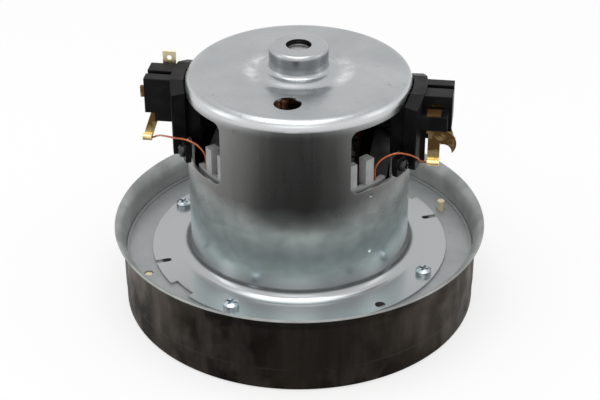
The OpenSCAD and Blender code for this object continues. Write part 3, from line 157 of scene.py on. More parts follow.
# %% Lamps and the dark card
LAMP_AIM = Vector((0, 0, 0.06))
CARD_SPOT = (0.025, -0.17, -0.05 * MM)
CARD_HALF_SIZE = (0.33, 0.36, 1)
CARD_FADE_START, CARD_FADE_END = 0.26, 0.78


def soft_lamp(name, spot, wide, high, level):
    """A soft lamp aimed at the housing. Level is how bright its face looks, where white paint is 1."""
    lamp = bpy.data.lights.new(name, "AREA")
    lamp.shape = "RECTANGLE"
    lamp.size = wide
    lamp.size_y = high
    lamp.energy = level * math.pi * wide * high
    holder = bpy.data.objects.new(name, lamp)
    holder.location = spot
    holder.rotation_euler = (LAMP_AIM - Vector(spot)).to_track_quat("-Z", "Y").to_euler()
    scene.collection.objects.link(holder)
    print(name, "size m:", wide, high, "level:", level)


soft_lamp("lamp_top", spot=(-0.04, -0.2, 1.0), wide=0.9, high=0.7, level=2.3)
soft_lamp("lamp_front", spot=(0.06, -0.8, 0.62), wide=0.6, high=0.3, level=0.8)
soft_lamp("lamp_left", spot=(-0.9, -0.3, 0.5), wide=0.3, high=0.6, level=1.4)
soft_lamp("lamp_right", spot=(0.95, 0.0, 0.5), wide=0.3, high=0.6, level=0.8)

bpy.ops.mesh.primitive_circle_add(vertices=CIRCLE_CORNERS, radius=1.0, fill_type="NGON", location=CARD_SPOT)
card = bpy.context.object
card.name = "dark_card"
card.scale = CARD_HALF_SIZE
felt = bpy.data.materials.new("card_felt")
felt.use_nodes = True
tree = felt.node_tree
dark = tree.nodes["Principled BSDF"]
dark.inputs["Base Color"].default_value = (0.015, 0.015, 0.015, 1)
dark.inputs["Roughness"].default_value = 0.9
clear = tree.nodes.new("ShaderNodeBsdfTransparent")
place = tree.nodes.new("ShaderNodeTexCoord")
from_middle = tree.nodes.new("ShaderNodeVectorMath")
from_middle.operation = "LENGTH"
fade = tree.nodes.new("ShaderNodeMapRange")
fade.inputs["From Min"].default_value = CARD_FADE_START
fade.inputs["From Max"].default_value = CARD_FADE_END
soft_edge = tree.nodes.new("ShaderNodeMixShader")
tree.links.new(place.outputs["Object"], from_middle.inputs[0])
tree.links.new(from_middle.outputs["Value"], fade.inputs["Value"])
tree.links.new(fade.outputs["Result"], soft_edge.inputs[0])
tree.links.new(dark.outputs[0], soft_edge.inputs[1])
tree.links.new(clear.outputs[0], soft_edge.inputs[2])
tree.links.new(soft_edge.outputs[0], tree.nodes["Material Output"].inputs["Surface"])
card.data.materials.append(felt)
card.visible_camera = False
card.visible_diffuse = False
card.visible_shadow = False
card.visible_transmission = False
print(card.name, "half size m:", CARD_HALF_SIZE[:2])

# %% [markdown]
# A finish is a colour with faults: clouds from the plating bath, streaks from drawing, fine grain, tarnish.
# Painting pictures of them would tie the part to image files, so each fault is a noise at its real size.
# This class keeps the node work short: a call adds one node or a few, and returns the socket to go on with.

# %% A class for finishes


class Finish:
    """A material in the making. Sizes are in millimetres on the real object."""

    def __init__(self, name, metal=0.0):
        self.material = bpy.data.materials.new(name)
        self.material.use_nodes = True
        self.tree = self.material.node_tree
        self.shader = self.tree.nodes["Principled BSDF"]
        self.fix("Metallic", metal)
        self.spot = self.node("TexCoord").outputs["Object"]

    def fix(self, socket, value):
        """Sets what is the same all over the surface."""
        self.shader.inputs[socket].default_value = value

    def to(self, socket, value):
        """Leads what changes over the surface to the shader."""
        self.feed(self.shader.inputs[socket], value)

    def node(self, kind, **settings):
        made = self.tree.nodes.new("ShaderNode" + kind)
        for name, value in settings.items():
            setattr(made, name, value)
        return made

    def feed(self, target, value):
        """Gives a node's input a link or a fixed value."""
        if isinstance(value, bpy.types.NodeSocket):
            self.tree.links.new(value, target)
        elif target.type == "RGBA":
            target.default_value = (*value, 1)
        else:
            target.default_value = value

    def math(self, operation, a, b=0.0):
        made = self.node("Math", operation=operation)
        self.feed(made.inputs[0], a)
        self.feed(made.inputs[1], b)
        return made.outputs[0]

    def times(self, *masks):
        """A mask that is 1 only where all the given ones are."""
        product = masks[0]
        for mask in masks[1:]:
            product = self.math("MULTIPLY", product, mask)
        return product

    def vector(self, operation, a, b=(0.0, 0.0, 0.0)):
        made = self.node("VectorMath", operation=operation)
        self.feed(made.inputs[0], a)
        self.feed(made.inputs[1], b)
        return made.outputs["Value"] if operation in ("DOT_PRODUCT", "LENGTH") else made.outputs[0]

    def axis(self, letter):
        """How far a point lies along X, Y or Z."""
        split = self.node("SeparateXYZ")
        self.feed(split.inputs[0], self.spot)
        return split.outputs[letter]

    def from_axis(self):
        """How far a point lies from the upright axis."""
        return self.vector("LENGTH", self.vector("MULTIPLY", self.spot, (1, 1, 0)))

    def facing_out(self):
        """How squarely the surface looks away from the upright axis: 1 outside, -1 inside."""
        outward = self.vector("NORMALIZE", self.vector("MULTIPLY", self.spot, (1, 1, 0)))
        return self.vector("DOT_PRODUCT", self.node("TexCoord").outputs["Normal"], outward)

    def noise(self, size, stretch=(1, 1, 1), detail=3.0, warp=0.0):
        """Cloudy values with spots of about the given size."""
        scale = tuple(1 / (size * MM * s) for s in stretch)
        made = self.node("TexNoise")
        self.feed(made.inputs["Vector"], self.vector("MULTIPLY", self.spot, scale))
        made.inputs["Scale"].default_value = 1.0
        made.inputs["Detail"].default_value = detail
        made.inputs["Distortion"].default_value = warp
        return made.outputs[0]

    def level(self, value, low, high, to_low=0.0, to_high=1.0):
        """Turns values from low to high into another range, and holds what lies beyond."""
        made = self.node("MapRange")
        sockets = ("Value", "From Min", "From Max", "To Min", "To Max")
        for socket, number in zip(sockets, (value, low, high, to_low, to_high)):
            self.feed(made.inputs[socket], number)
        return made.outputs["Result"]

    def patches(self, size, none, full, **shape):
        """A mask of noise: 0 where the noise is at none, 1 where it is at full."""
        return self.level(self.noise(size, **shape), none, full)

    def ramp(self, length, none, full):
        """A mask along a length: 0 at none and 1 at full, both in millimetres."""
        return self.level(length, none * MM, full * MM)

    def zone(self, length, rise, fall):
        """A mask between two stretches in millimetres: it goes up over rise and down over fall."""
        return self.times(self.ramp(length, rise[0], rise[1]), self.ramp(length, fall[1], fall[0]))

    def follow(self, mask, at_none, at_full):
        """A number that goes from one value to another as the mask goes from 0 to 1."""
        return self.level(mask, 0, 1, at_none, at_full)

    def mix(self, share, a, b, way="MIX"):
        """A colour from a to b. In Blender's mix node, colours have the inputs 6 and 7 and the output 2."""
        made = self.node("Mix", data_type="RGBA", blend_type=way)
        self.feed(made.inputs[0], share)
        self.feed(made.inputs[6], a)
        self.feed(made.inputs[7], b)
        return made.outputs[2]

    def relief(self, *layers, edge=0.0):
        """Bumps of real height: pairs of a value and its height, over edges rounded by a small radius."""
        normal = None
        if edge:
            rounded = self.node("Bevel", samples=4)
            rounded.inputs["Radius"].default_value = edge * MM
            normal = rounded.outputs[0]
        for value, height in layers:
            bump = self.node("Bump")
            bump.inputs["Distance"].default_value = height * MM
            self.feed(bump.inputs["Height"], value)
            if normal:
                self.feed(bump.inputs["Normal"], normal)
            normal = bump.outputs[0]
        self.to("Normal", normal)


print("finish class ready")

# %% [markdown]
# The housing and the plate under it are drawn from zinc plated sheet. Plating is never one grey: it has
# pale and dark clouds a few centimetres wide, faint upright streaks from the drawing die, and fine grain.
# Noise stretched upright makes the streaks with no seam, and a turning grain spreads the highlight in fans
# round the boss, as brushed sheet does. One function starts both finishes. Under the housing's flange the
# plate is painted black as shade, which shows in the slots and makes them look deep.

# %% Plated sheet
BRACKET_PALE, BRACKET_DARK = (0.38, 0.392, 0.395), (0.3, 0.312, 0.316)
UNDER_FLANGE_SHADE = (0.012, 0.011, 0.01)


def shaded(colour, share):
    return tuple(share * part for part in colour)


def plated_sheet(name, pale, dark, metal=0.0):
    """The start of a plated finish, with its tone and an unevenness from 0 to 1."""
    zinc = Finish(name, metal)
    cloud = zinc.patches(26, 0.33, 0.67, stretch=(1, 1, 1.4), detail=4.0, warp=0.4)
    streak = zinc.patches(2.6, 0.3, 0.7, stretch=(1, 1, 18))
    speck = zinc.patches(3.2, 0.66, 0.74, detail=5.0)
    tone = zinc.mix(cloud, dark, pale)
    tone = zinc.mix(zinc.follow(streak, 0.0, 0.12), tone, shaded(dark, 0.8))
    tone = zinc.mix(zinc.follow(speck, 0.0, 0.35), tone, shaded(dark, 0.6))
    uneven = zinc.math("ADD", zinc.math("MULTIPLY", cloud, 0.7), zinc.math("MULTIPLY", streak, 0.3))
    zinc.fix("Anisotropic", 0.45)
    turning = zinc.node("Tangent", direction_type="RADIAL", axis="Z")
    zinc.to("Tangent", turning.outputs[0])
    dents = zinc.noise(14, stretch=(1, 1, 1.6), detail=2.0)
    grain = zinc.noise(0.5, detail=2.0)
    zinc.relief((dents, 0.05), (grain, 0.002), edge=0.25)
    return zinc, tone, uneven


bracket, bracket_tone, uneven = plated_sheet("bracket_zinc", BRACKET_PALE, BRACKET_DARK, metal=0.5)
# Painted shade: under the housing's flange the plate is black, so that the slots look deep.
under_flange = bracket.ramp(bracket.from_axis(), 52.2, 51.6)
bracket.to("Base Color", bracket.mix(under_flange, bracket_tone, UNDER_FLANGE_SHADE))
bracket.to("Roughness", bracket.follow(uneven, 0.48, 0.34))
print("plated finish:", bracket.material.name)

# %% [markdown]
# The housing's tone differs from place to place. Painting the places on the mesh by hand would be lost
# whenever the model changes, so masks find them: by height, by the distance from the axis and by the way the
# surface faces. The upper wall is painted darker as shade, and the low wall, where the die squeezed it,
# carries a painted reflection, with an uneven edge between the two. The flange has a bloom, the windows have
# cut edges, and the inside is painted black as shade. On the top, painted highlights lie on the pressed bead
# to the left and right of the boss, the shoulder is painted lighter as a highlight over its polish, and the
# boss's side is painted darker.

# %% Housing masks
HOUSING_PALE, HOUSING_DARK = (0.46, 0.475, 0.482), (0.38, 0.395, 0.404)
BEAD_RADIUS = 17
EDGE_WAVE = 1.3
housing, housing_tone, uneven = plated_sheet("housing_zinc", HOUSING_PALE, HOUSING_DARK)
height = housing.axis("Z")
facing = housing.facing_out()
out = housing.from_axis()

wall_shade = housing.ramp(height, 88, 84.5)
waves = housing.level(housing.noise(9, detail=5.0), 0.3, 0.7, -EDGE_WAVE * MM, EDGE_WAVE * MM)
squeezed = housing.ramp(housing.math("ADD", height, waves), 58, 45.5)
mottled = housing.follow(housing.patches(6, 0.4, 0.62, stretch=(1, 1, 0.8), detail=7.0, warp=0.6), 0.0, 0.55)
bloom = housing.ramp(height, 32, 26)
sideways = housing.level(housing.math("ABSOLUTE", facing), 0.5, 0.2)
cut = housing.times(sideways, housing.zone(height, (58, 59), (86.5, 87.5)))
shaded_inside = housing.level(facing, -0.2, -0.6)

off_bead = housing.math("ABSOLUTE", housing.math("SUBTRACT", out, BEAD_RADIUS * MM))
left_or_right = housing.math("DIVIDE", housing.math("ABSOLUTE", housing.axis("X")), out)
fan_highlight = housing.times(housing.ramp(off_bead, 3.2, 0.4), housing.level(left_or_right, 0.72, 0.95),
                       housing.patches(2.8, 0.3, 0.7, detail=5.0), housing.ramp(height, 90, 90.6))
shoulder_highlight = housing.zone(height, (85.5, 87.5), (89.4, 90.4))
boss_side = housing.level(facing, 0.6, 0.9, 0.0, 0.55)
boss_darkened = housing.times(housing.zone(height, (94.6, 96), (98.6, 99.6)), boss_side)
print("housing nodes for masks:", len(housing.tree.nodes))

# %% [markdown]
# The masks now lay one tone over the other. The wall below the shoulder is darker and a little warmer than
# the top, which is painted shade, and a multiply does it without losing its clouds. Low down, where the die
# squeezed it, the wall is smooth with the blue-green mottling of thick zinc; its bright tone is a painted
# reflection, palest in a painted highlight band at its top. The flange's bloom is greyer, the windows' cut
# edges are bare, and the inside is painted black as shade. The bare metal and the black inside also differ in
# gloss, so the same masks steer the metallic share and the roughness.

# %% Housing tones and gloss
FAN_HIGHLIGHT_ZINC, SHOULDER_HIGHLIGHT_ZINC = (0.74, 0.755, 0.76), (0.6, 0.615, 0.62)
BOSS_DARK_TONE = (0.15, 0.17, 0.185)
PAINTED_WALL_SHADE = (0.64, 0.62, 0.595)
SQUEEZED_HIGHLIGHT, SQUEEZED_REFLECTION, MOTTLED_ZINC = (0.8, 0.87, 0.86), (0.66, 0.765, 0.77), (0.5, 0.59, 0.595)
BLOOM_ZINC, CUT_STEEL = (0.42, 0.435, 0.44), (0.55, 0.565, 0.57)
INSIDE_SHADE = (0.012, 0.0115, 0.011)

# Painted highlight: bright fans on the bead to the left and right of the boss.
tone = housing.mix(fan_highlight, housing_tone, FAN_HIGHLIGHT_ZINC)
# Painted highlight over the polish: the shoulder band is lighter than the top.
tone = housing.mix(shoulder_highlight, tone, SHOULDER_HIGHLIGHT_ZINC)
# The boss's side is painted darker.
tone = housing.mix(boss_darkened, tone, BOSS_DARK_TONE)
# Painted shade: the wall below the shoulder is darkened against the top.
tone = housing.mix(wall_shade, tone, housing.mix(1.0, tone, PAINTED_WALL_SHADE, "MULTIPLY"))
# Painted reflection on the low wall, with a painted highlight band at its top.
bright = housing.mix(housing.ramp(height, 44, 38), SQUEEZED_HIGHLIGHT, SQUEEZED_REFLECTION)
bright = housing.mix(mottled, bright, MOTTLED_ZINC)
tone = housing.mix(squeezed, tone, bright)
tone = housing.mix(bloom, tone, BLOOM_ZINC)
tone = housing.mix(cut, tone, CUT_STEEL)
# Painted shade: faces towards the axis, inside the housing, turn black.
housing.to("Base Color", housing.mix(shaded_inside, tone, INSIDE_SHADE))

metal = housing.follow(squeezed, 1.0, 0.84)
metal = housing.follow(bloom, metal, 0.93)
housing.to("Metallic", housing.follow(shaded_inside, metal, 0.0))
housing.fix("Specular IOR Level", 0.1)
satin = housing.follow(uneven, 0.34, 0.22)
smooth = housing.follow(uneven, 0.26, 0.17)
rough = housing.follow(squeezed, satin, smooth)
rough = housing.follow(bloom, rough, 0.24)
housing.to("Roughness", housing.follow(shaded_inside, rough, 0.75))
print("plated finish:", housing.material.name)

# %% [markdown]
# The drum's outside has stood in use: the plating is dull and brown-grey, with blotches, runs and stains, and
# its very dark tone is partly a painted reflection of dark surroundings. A paler line on the pressed step is
# a painted highlight. Inside, under the housing and on the lip it is paler. Two materials would need the
# faces sorted by hand. One does both: the surface's own direction, compared with the way out from the axis,
# picks the side.

# %% Drum steel
STEP_HEIGHT = 9.1
WORN_SHADED_DARK, WORN_SHADED_PALE = (0.036, 0.031, 0.026), (0.21, 0.184, 0.16)
RUN_TONE, STAIN_TONE, STEP_HIGHLIGHT = (0.03, 0.026, 0.023), (0.15, 0.115, 0.085), (0.2, 0.19, 0.175)
KEPT_DARK, KEPT_PALE, KEPT_RUN = (0.27, 0.282, 0.275), (0.38, 0.392, 0.38), (0.26, 0.27, 0.26)
drum = Finish("drum_steel")
height = drum.axis("Z")
underside = drum.ramp(height, 1.2, 0.8)
lip = drum.ramp(height, 30.2, 30.9)
outside = drum.math("MAXIMUM", drum.level(drum.facing_out(), -0.1, 0.25), underside)
outside = drum.times(outside, drum.math("SUBTRACT", 1.0, lip))
blotch = drum.patches(11, 0.4, 0.62, stretch=(1, 1, 1.5), detail=9.0, warp=0.2)
runs = drum.patches(3.4, 0.32, 0.7, stretch=(1, 1, 9), detail=4.0)
stain = drum.patches(34, 0.42, 0.62)
off_step = drum.math("ABSOLUTE", drum.math("SUBTRACT", height, STEP_HEIGHT * MM))
step_highlight = drum.ramp(off_step, 0.5, 0.1)
# The outside's dark tone is partly stains and partly a painted dark reflection.
worn_and_shaded = drum.mix(blotch, WORN_SHADED_DARK, WORN_SHADED_PALE)
worn_and_shaded = drum.mix(drum.follow(runs, 0.0, 0.5), worn_and_shaded, RUN_TONE)
worn_and_shaded = drum.mix(drum.follow(stain, 0.0, 0.35), worn_and_shaded, STAIN_TONE)
# Painted highlight: a paler line along the pressed step.
worn_and_shaded = drum.mix(drum.follow(step_highlight, 0.0, 0.5), worn_and_shaded, STEP_HIGHLIGHT)
kept = drum.mix(blotch, KEPT_DARK, KEPT_PALE)
kept = drum.mix(drum.follow(runs, 0.0, 0.3), kept, KEPT_RUN)
drum.to("Base Color", drum.mix(outside, kept, worn_and_shaded))
drum.to("Metallic", drum.follow(outside, 0.4, 1.0))
drum.to("Roughness", drum.follow(blotch, 0.5, 0.34))
dents = drum.noise(9, stretch=(1, 1, 1.5))
grain = drum.noise(0.6, detail=2.0)
drum.relief((dents, 0.05), (grain, 0.008), edge=0.25)
print("drum finish:", drum.material.name)

# %% [markdown]
# Screws, bearings and the fan are bare metal with duller patches. Screws are bright, but those of the
# holders are blackened. Ground bearing steel has fine turning rings, which flat, wide spots of noise make,
# and the pressed aluminium of the fan is pale. They differ only in numbers, so one function makes all four.

# %% Bare metals


def bare_metal(name, bright, dull, rough, size, stretch=(1, 1, 1)):
    """Metal with patches that are duller and rougher, and a fine relief that is stretched like them."""
    metal = Finish(name, metal=1.0)
    wear = metal.patches(size, 0.35, 0.68, stretch=stretch, detail=4.0, warp=0.3)
    fine = metal.noise(size * 0.12, stretch=stretch, detail=2.0)
    metal.to("Base Color", metal.mix(wear, bright, dull))
    metal.to("Roughness", metal.follow(wear, rough, rough + 0.18))
    metal.relief((fine, 0.006), edge=0.12)
    print("bare metal:", name)
    return metal.material


screw_steel = bare_metal("screw_steel", bright=(0.6, 0.65, 0.69), dull=(0.34, 0.375, 0.4),
                         rough=0.22, size=2.0)
blackened_steel = bare_metal("blackened_steel", bright=(0.07, 0.07, 0.072), dull=(0.03, 0.029, 0.028),
                             rough=0.34, size=2.0)
ground_steel = bare_metal("ground_steel", bright=(0.52, 0.52, 0.53), dull=(0.36, 0.36, 0.37),
                          rough=0.2, size=4.0, stretch=(3, 3, 0.3))
fan_alloy = bare_metal("fan_alloy", bright=(0.74, 0.75, 0.76), dull=(0.56, 0.57, 0.58),
                       rough=0.3, size=9.0)

# %% [markdown]
# Brass strips carry the current to the brushes. They are yellow at the crimps, palest at the line tab, and
# brown between the two, near the hot brushes. Heat leaves no sharp edge, so a mask by height is added to a
# spotty noise and the sum picks the brown: spots grow together towards the middle.

# %% Brass strips
CRIMP_BRASS, BROWN_BRASS, TAB_BRASS = (0.9, 0.7, 0.33), (0.17, 0.092, 0.03), (0.98, 0.84, 0.56)
strips = Finish("brass")
height = strips.axis("Z")
spots = strips.patches(3.4, 0.35, 0.68, detail=4.0, warp=0.3)
heated = strips.zone(height, (65, 69), (85, 88))
brown = strips.level(strips.math("ADD", heated, spots), 0.6, 1.4)
tab = strips.ramp(height, 86, 88)
tarnish = strips.mix(brown, CRIMP_BRASS, BROWN_BRASS)
strips.to("Base Color", strips.mix(tab, tarnish, TAB_BRASS))
strips.to("Roughness", strips.follow(brown, 0.22, 0.42))
strips.to("Metallic", strips.follow(tab, 0.8, 0.2))
strips.relief((strips.noise(0.4, detail=2.0), 0.006), edge=0.12)
brass = strips.material
print("brass finish:", brass.name)

# %% [markdown]
# Inside, the commutator's copper bars carry the dark track of the brushes, worn into fine rings.
# The iron cores are stacks of thin varnished sheet. Cutting hundreds of sheets as solids would cost far
# more than they show, so a wave texture with the sheet's own thickness gives their grooves.

# %% Commutator bars and iron cores
BRUSH_HEIGHT = 79.0
BAR_COPPER, TRACK_COPPER = (0.32, 0.14, 0.075), (0.09, 0.045, 0.03)
bars = Finish("bar_copper", metal=1.0)
off_track = bars.math("ABSOLUTE", bars.math("SUBTRACT", bars.axis("Z"), BRUSH_HEIGHT * MM))
rings = bars.noise(0.7, stretch=(40, 40, 1), detail=2.0)
track = bars.times(bars.ramp(off_track, 4.9, 4.3), bars.level(rings, 0.3, 0.7, 0.6, 1.0))
bars.to("Base Color", bars.mix(track, BAR_COPPER, TRACK_COPPER))
bars.to("Roughness", bars.level(rings, 0.3, 0.7, 0.22, 0.42))
bars.relief((rings, 0.008), edge=0.08)
bar_copper = bars.material

SHEET = 0.5
WAVE_AT_SCALE_ONE = 0.314
SHEET_STEEL, SHEET_VARNISH = (0.26, 0.255, 0.25), (0.12, 0.105, 0.095)
stack = Finish("lamination", metal=0.9)
sheets = stack.node("TexWave", wave_type="BANDS", bands_direction="Z")
stack.feed(sheets.inputs["Vector"], stack.spot)
sheets.inputs["Scale"].default_value = WAVE_AT_SCALE_ONE / (SHEET * MM)
varnish = stack.patches(6, 0.35, 0.7, detail=4.0)
stack.to("Base Color", stack.mix(varnish, SHEET_STEEL, SHEET_VARNISH))
stack.to("Roughness", stack.follow(varnish, 0.36, 0.6))
stack.relief((sheets.outputs[0], 0.05), (stack.noise(0.6), 0.01))
lamination = stack.material
print("inner metal finishes:", bar_copper.name, lamination.name)

# %% [markdown]
# The insulating pieces are moulded. Black holders have a fine matt skin from the mould and a little dust, the
# pale end frames let some light in and are painted black low down as shade inside the housing, the locating
# pegs are natural nylon, and the commutator's hub and the armature's end discs are brown resin. Moulding
# gives them all the same marks, a slow waviness from the flow and a fine skin, so one function takes their
# colours.

# %% Moulded pieces
LOW_SHADE = (0.02, 0.019, 0.018)
LOW_SHADE_EDGE = 1.6
LIGHT_REACH = (0.8 * MM, 0.6 * MM, 0.4 * MM)


def moulded(name, colour, dusty, rough, skin, through=0.0, shade_below=0.0, edge=0.2, gloss=0.5):
    """A moulded finish. Below a given height in millimetres it is painted black, as shade inside the housing.
    """
    plastic = Finish(name)
    dust = plastic.patches(5, 0.45, 0.78, detail=6.0)
    flow = plastic.noise(18, stretch=(1, 1, 0.5), detail=2.0)
    tone = plastic.mix(plastic.follow(dust, 0.0, 0.55), colour, dusty)
    if shade_below:
        # Painted shade: black below the given height, inside the housing.
        tone = plastic.mix(plastic.ramp(plastic.axis("Z"), shade_below + LOW_SHADE_EDGE, shade_below), tone, LOW_SHADE)
    plastic.to("Base Color", tone)
    uneven = plastic.math("ADD", dust, flow)
    plastic.to("Roughness", plastic.level(uneven, 0.3, 1.3, rough - 0.06, rough + 0.16))
    plastic.relief((flow, 0.04), (plastic.noise(0.35, detail=2.0), skin), edge=edge)
    plastic.fix("Specular IOR Level", gloss)
    plastic.fix("Subsurface Weight", through)
    plastic.fix("Subsurface Radius", LIGHT_REACH)
    print("moulded finish:", name)
    return plastic.material


black_plastic = moulded("black_plastic", colour=(0.003, 0.003, 0.0032), dusty=(0.01, 0.0097, 0.0092),
                        rough=0.4, skin=0.012, edge=0.5, gloss=0.16)
pale_plastic = moulded("pale_plastic", colour=(0.34, 0.345, 0.345), dusty=(0.2, 0.198, 0.19),
                       rough=0.42, skin=0.006, through=0.15, shade_below=59, gloss=0.2)
nylon = moulded("nylon", colour=(0.74, 0.65, 0.44), dusty=(0.6, 0.5, 0.33),
                rough=0.45, skin=0.008, through=0.2)
phenolic = moulded("phenolic", colour=(0.12, 0.05, 0.022), dusty=(0.2, 0.1, 0.05),
                   rough=0.36, skin=0.01)

# %% [markdown]
# The brushes are pressed from carbon with some copper powder. Carbon alone would be one matt black, so
# small flecks, where a fine noise is at its highest, turn metallic.

# %% Carbon
CARBON_BLACK, COPPER_FLECK = (0.028, 0.028, 0.03), (0.2, 0.1, 0.06)
block = Finish("carbon")
fleck = block.patches(0.45, 0.66, 0.7, detail=1.0)
block.to("Base Color", block.mix(fleck, CARBON_BLACK, COPPER_FLECK))
block.to("Metallic", block.follow(fleck, 0.1, 0.8))
block.to("Roughness", block.level(block.noise(3), 0.3, 0.7, 0.42, 0.62))
block.relief((block.noise(0.3), 0.02), edge=0.15)
carbon = block.material
print("pressed finish:", carbon.name)

# %% [markdown]
# Winding wire is copper under a clear orange enamel. The bare colour alone looks dead, so the copper is
# half metal with a coat over it, and the enamel darkens where it is thick. The spinning armature's winding
# is soaked in brown varnish as well, so that it holds together, and looks almost black through the cooling
# hole.

# %% Enamelled wire
THIN_ENAMEL, THICK_ENAMEL = (0.54, 0.125, 0.034), (0.28, 0.055, 0.016)
THIN_VARNISH, POOLED_VARNISH = (0.12, 0.05, 0.025), (0.035, 0.018, 0.012)
wire = Finish("enamelled_wire", metal=0.5)
thick = wire.patches(2.4, 0.35, 0.7)
wire.to("Base Color", wire.mix(thick, THIN_ENAMEL, THICK_ENAMEL))
wire.to("Roughness", wire.follow(thick, 0.24, 0.4))
wire.fix("Coat Weight", 0.5)
wire.fix("Coat Roughness", 0.12)
wire.relief((wire.noise(0.5), 0.008))
enamelled_wire = wire.material

soaked = Finish("varnished_winding", metal=0.4)
pooled = soaked.patches(3.5, 0.35, 0.65)
soaked.to("Base Color", soaked.mix(pooled, THIN_VARNISH, POOLED_VARNISH))
soaked.to("Roughness", soaked.follow(pooled, 0.34, 0.2))
soaked.fix("Coat Weight", 0.6)
soaked.relief((pooled, 0.06))
varnished_winding = soaked.material
print("wire finishes:", enamelled_wire.name, varnished_winding.name)

# %% [markdown]
# Every node of the model names its material slot in the record, so the finishes are dealt out by slot,
# which is shorter than a list of all nodes. Two nodes differ from their slot: the bracket gets the rougher
# of the two plated finishes, and the holders' screws are blackened.

# %% Finishes on the CAD nodes
finish_of_slot = {
    "plated_steel": housing.material, "drum_steel": drum.material, "screw_steel": screw_steel, "brass": brass,
    "ground_steel": ground_steel, "alloy": fan_alloy, "bar_copper": bar_copper, "lamination": lamination,
    "black_plastic": black_plastic, "pale_plastic": pale_plastic, "nylon": nylon, "phenolic": phenolic,
    "carbon": carbon, "copper_wire": enamelled_wire,
}
finish_of_node = {"fan_bracket": bracket.material, "holder_screws": blackened_steel}
subparts = frame["record"]["subparts"]
for entry in subparts:
    name = entry.get("node") or entry.get("name")
    piece = nodes[name]
    piece.data.materials.clear()
    piece.data.materials.append(finish_of_node.get(name, finish_of_slot[entry["material_slot"]]))
print("nodes with a finish:", len(subparts))

# %% [markdown]
# Wire is a circle carried along a path. A curve object with a bevel would do it too, but a mesh tube gives
# full say over the ends and can be squashed later. The ring's side vector is carried from point to point,
# so the tube doesn't twist, and a smooth curve is laid through the few points that describe a route.

# %% Helpers for wire


def smooth_path(points, steps):
    """A smooth curve through the points, each stretch cut into the given number of steps."""
    path = []
    last = len(points) - 1
    for i in range(last):
        a, b, c, d = (points[max(i - 1, 0)], points[i], points[i + 1], points[min(i + 2, last)])
        for s in range(steps):
            t = s / steps
            path.append(0.5 * (2 * b + (c - a) * t + (2 * a - 5 * b + 4 * c - d) * t * t
                               + (3 * b - a - 3 * c + d) * t ** 3))
    return path + [points[-1]]


def half_turn(path):
    """The same path on the other side of the motor."""
    return [Vector((-p.x, -p.y, p.z)) for p in path]


def mesh_piece(name, corners, faces, rounded, finish):
    """An object from corners in millimetres. The list rounded says which faces are shaded as one curve."""
    mesh = bpy.data.meshes.new(name)
    mesh.from_pydata([corner * MM for corner in corners], [], faces)
    mesh.polygons.foreach_set("use_smooth", rounded)
    mesh.update()
    mesh.materials.append(finish)
    piece = bpy.data.objects.new(name, mesh)
    scene.collection.objects.link(piece)
    print(name, "faces:", len(faces))
    return piece


def wire_mesh(name, paths, thick, sides, finish):
    """One mesh of tubes with flat ends along paths given in millimetres."""
    corners = []
    faces = []
    for path in paths:
        first = len(corners)
        side = None
        for i, p in enumerate(path):
            ahead = (path[min(i + 1, len(path) - 1)] - path[max(i - 1, 0)]).normalized()
            if side is None:
                side = ahead.orthogonal()
            side = (side - ahead * side.dot(ahead)).normalized()
            other = ahead.cross(side)
            for k in range(sides):
                turn = 2 * math.pi * k / sides
                corners.append(p + thick / 2 * (side * math.cos(turn) + other * math.sin(turn)))
        for i in range(len(path) - 1):
            a = first + i * sides
            for k in range(sides):
                n = (k + 1) % sides
                faces.append((a + k, a + n, a + sides + n, a + sides + k))
        end = first + (len(path) - 1) * sides
        faces.append(tuple(first + k for k in reversed(range(sides))))
        faces.append(tuple(end + k for k in range(sides)))
    return mesh_piece(name, corners, faces, [len(face) == 4 for face in faces], finish)


def closed_faces(loops, size):
    """Faces between loops of corners, where each loop is joined to the next one and the last to the first."""
    faces = []
    for loop in range(loops):
        a, b = loop * size, (loop + 1) % loops * size
        for k in range(size):
            n = (k + 1) % size
            faces.append((a + k, b + k, b + n, a + n))
    return faces


print("wire helpers ready")

# %% [markdown]
# Four leads of 0.7 mm wire carry the coils' ends up from the pale rim, out through a window, over the
# holder's ear and into a brass crimp. Two show in the picture. They are held at both ends, so they aren't
# left to hang but made whole along the route of the model: points give a radius, an angle from the brush
# and a height, and a smooth curve joins them.

# %% Coil leads
WIRE = 0.7
CRIMP = 2.4
EAR_HEIGHT = 6.8
HOLDER_FOOT = 62.2
HOUSING_IN, HOUSING_OUT, SADDLE_OUT = 39.1, 40.0, 45.2
FOOT_RADIUS, FOOT_TURN, FOOT_HEIGHT = 36.98, 37, 61.6
LEG_CRIMP = Vector((46.6, -10.56, 63.45))
CLIP_CRIMP = Vector((54.158, -6.125, 63.763))
LEAD_STEPS = 8


def round_spot(radius, turn, height):
    """A point at a radius, an angle in degrees from the right brush towards the front, and a height."""
    angle = math.radians(turn)
    return Vector((radius * math.cos(angle), -radius * math.sin(angle), height))


def route_spot(radius, wires, turn, ears):
    """A point some wires off a radius, and some ears above the holder's foot."""
    return round_spot(radius + wires * WIRE, turn, HOLDER_FOOT + ears * EAR_HEIGHT)


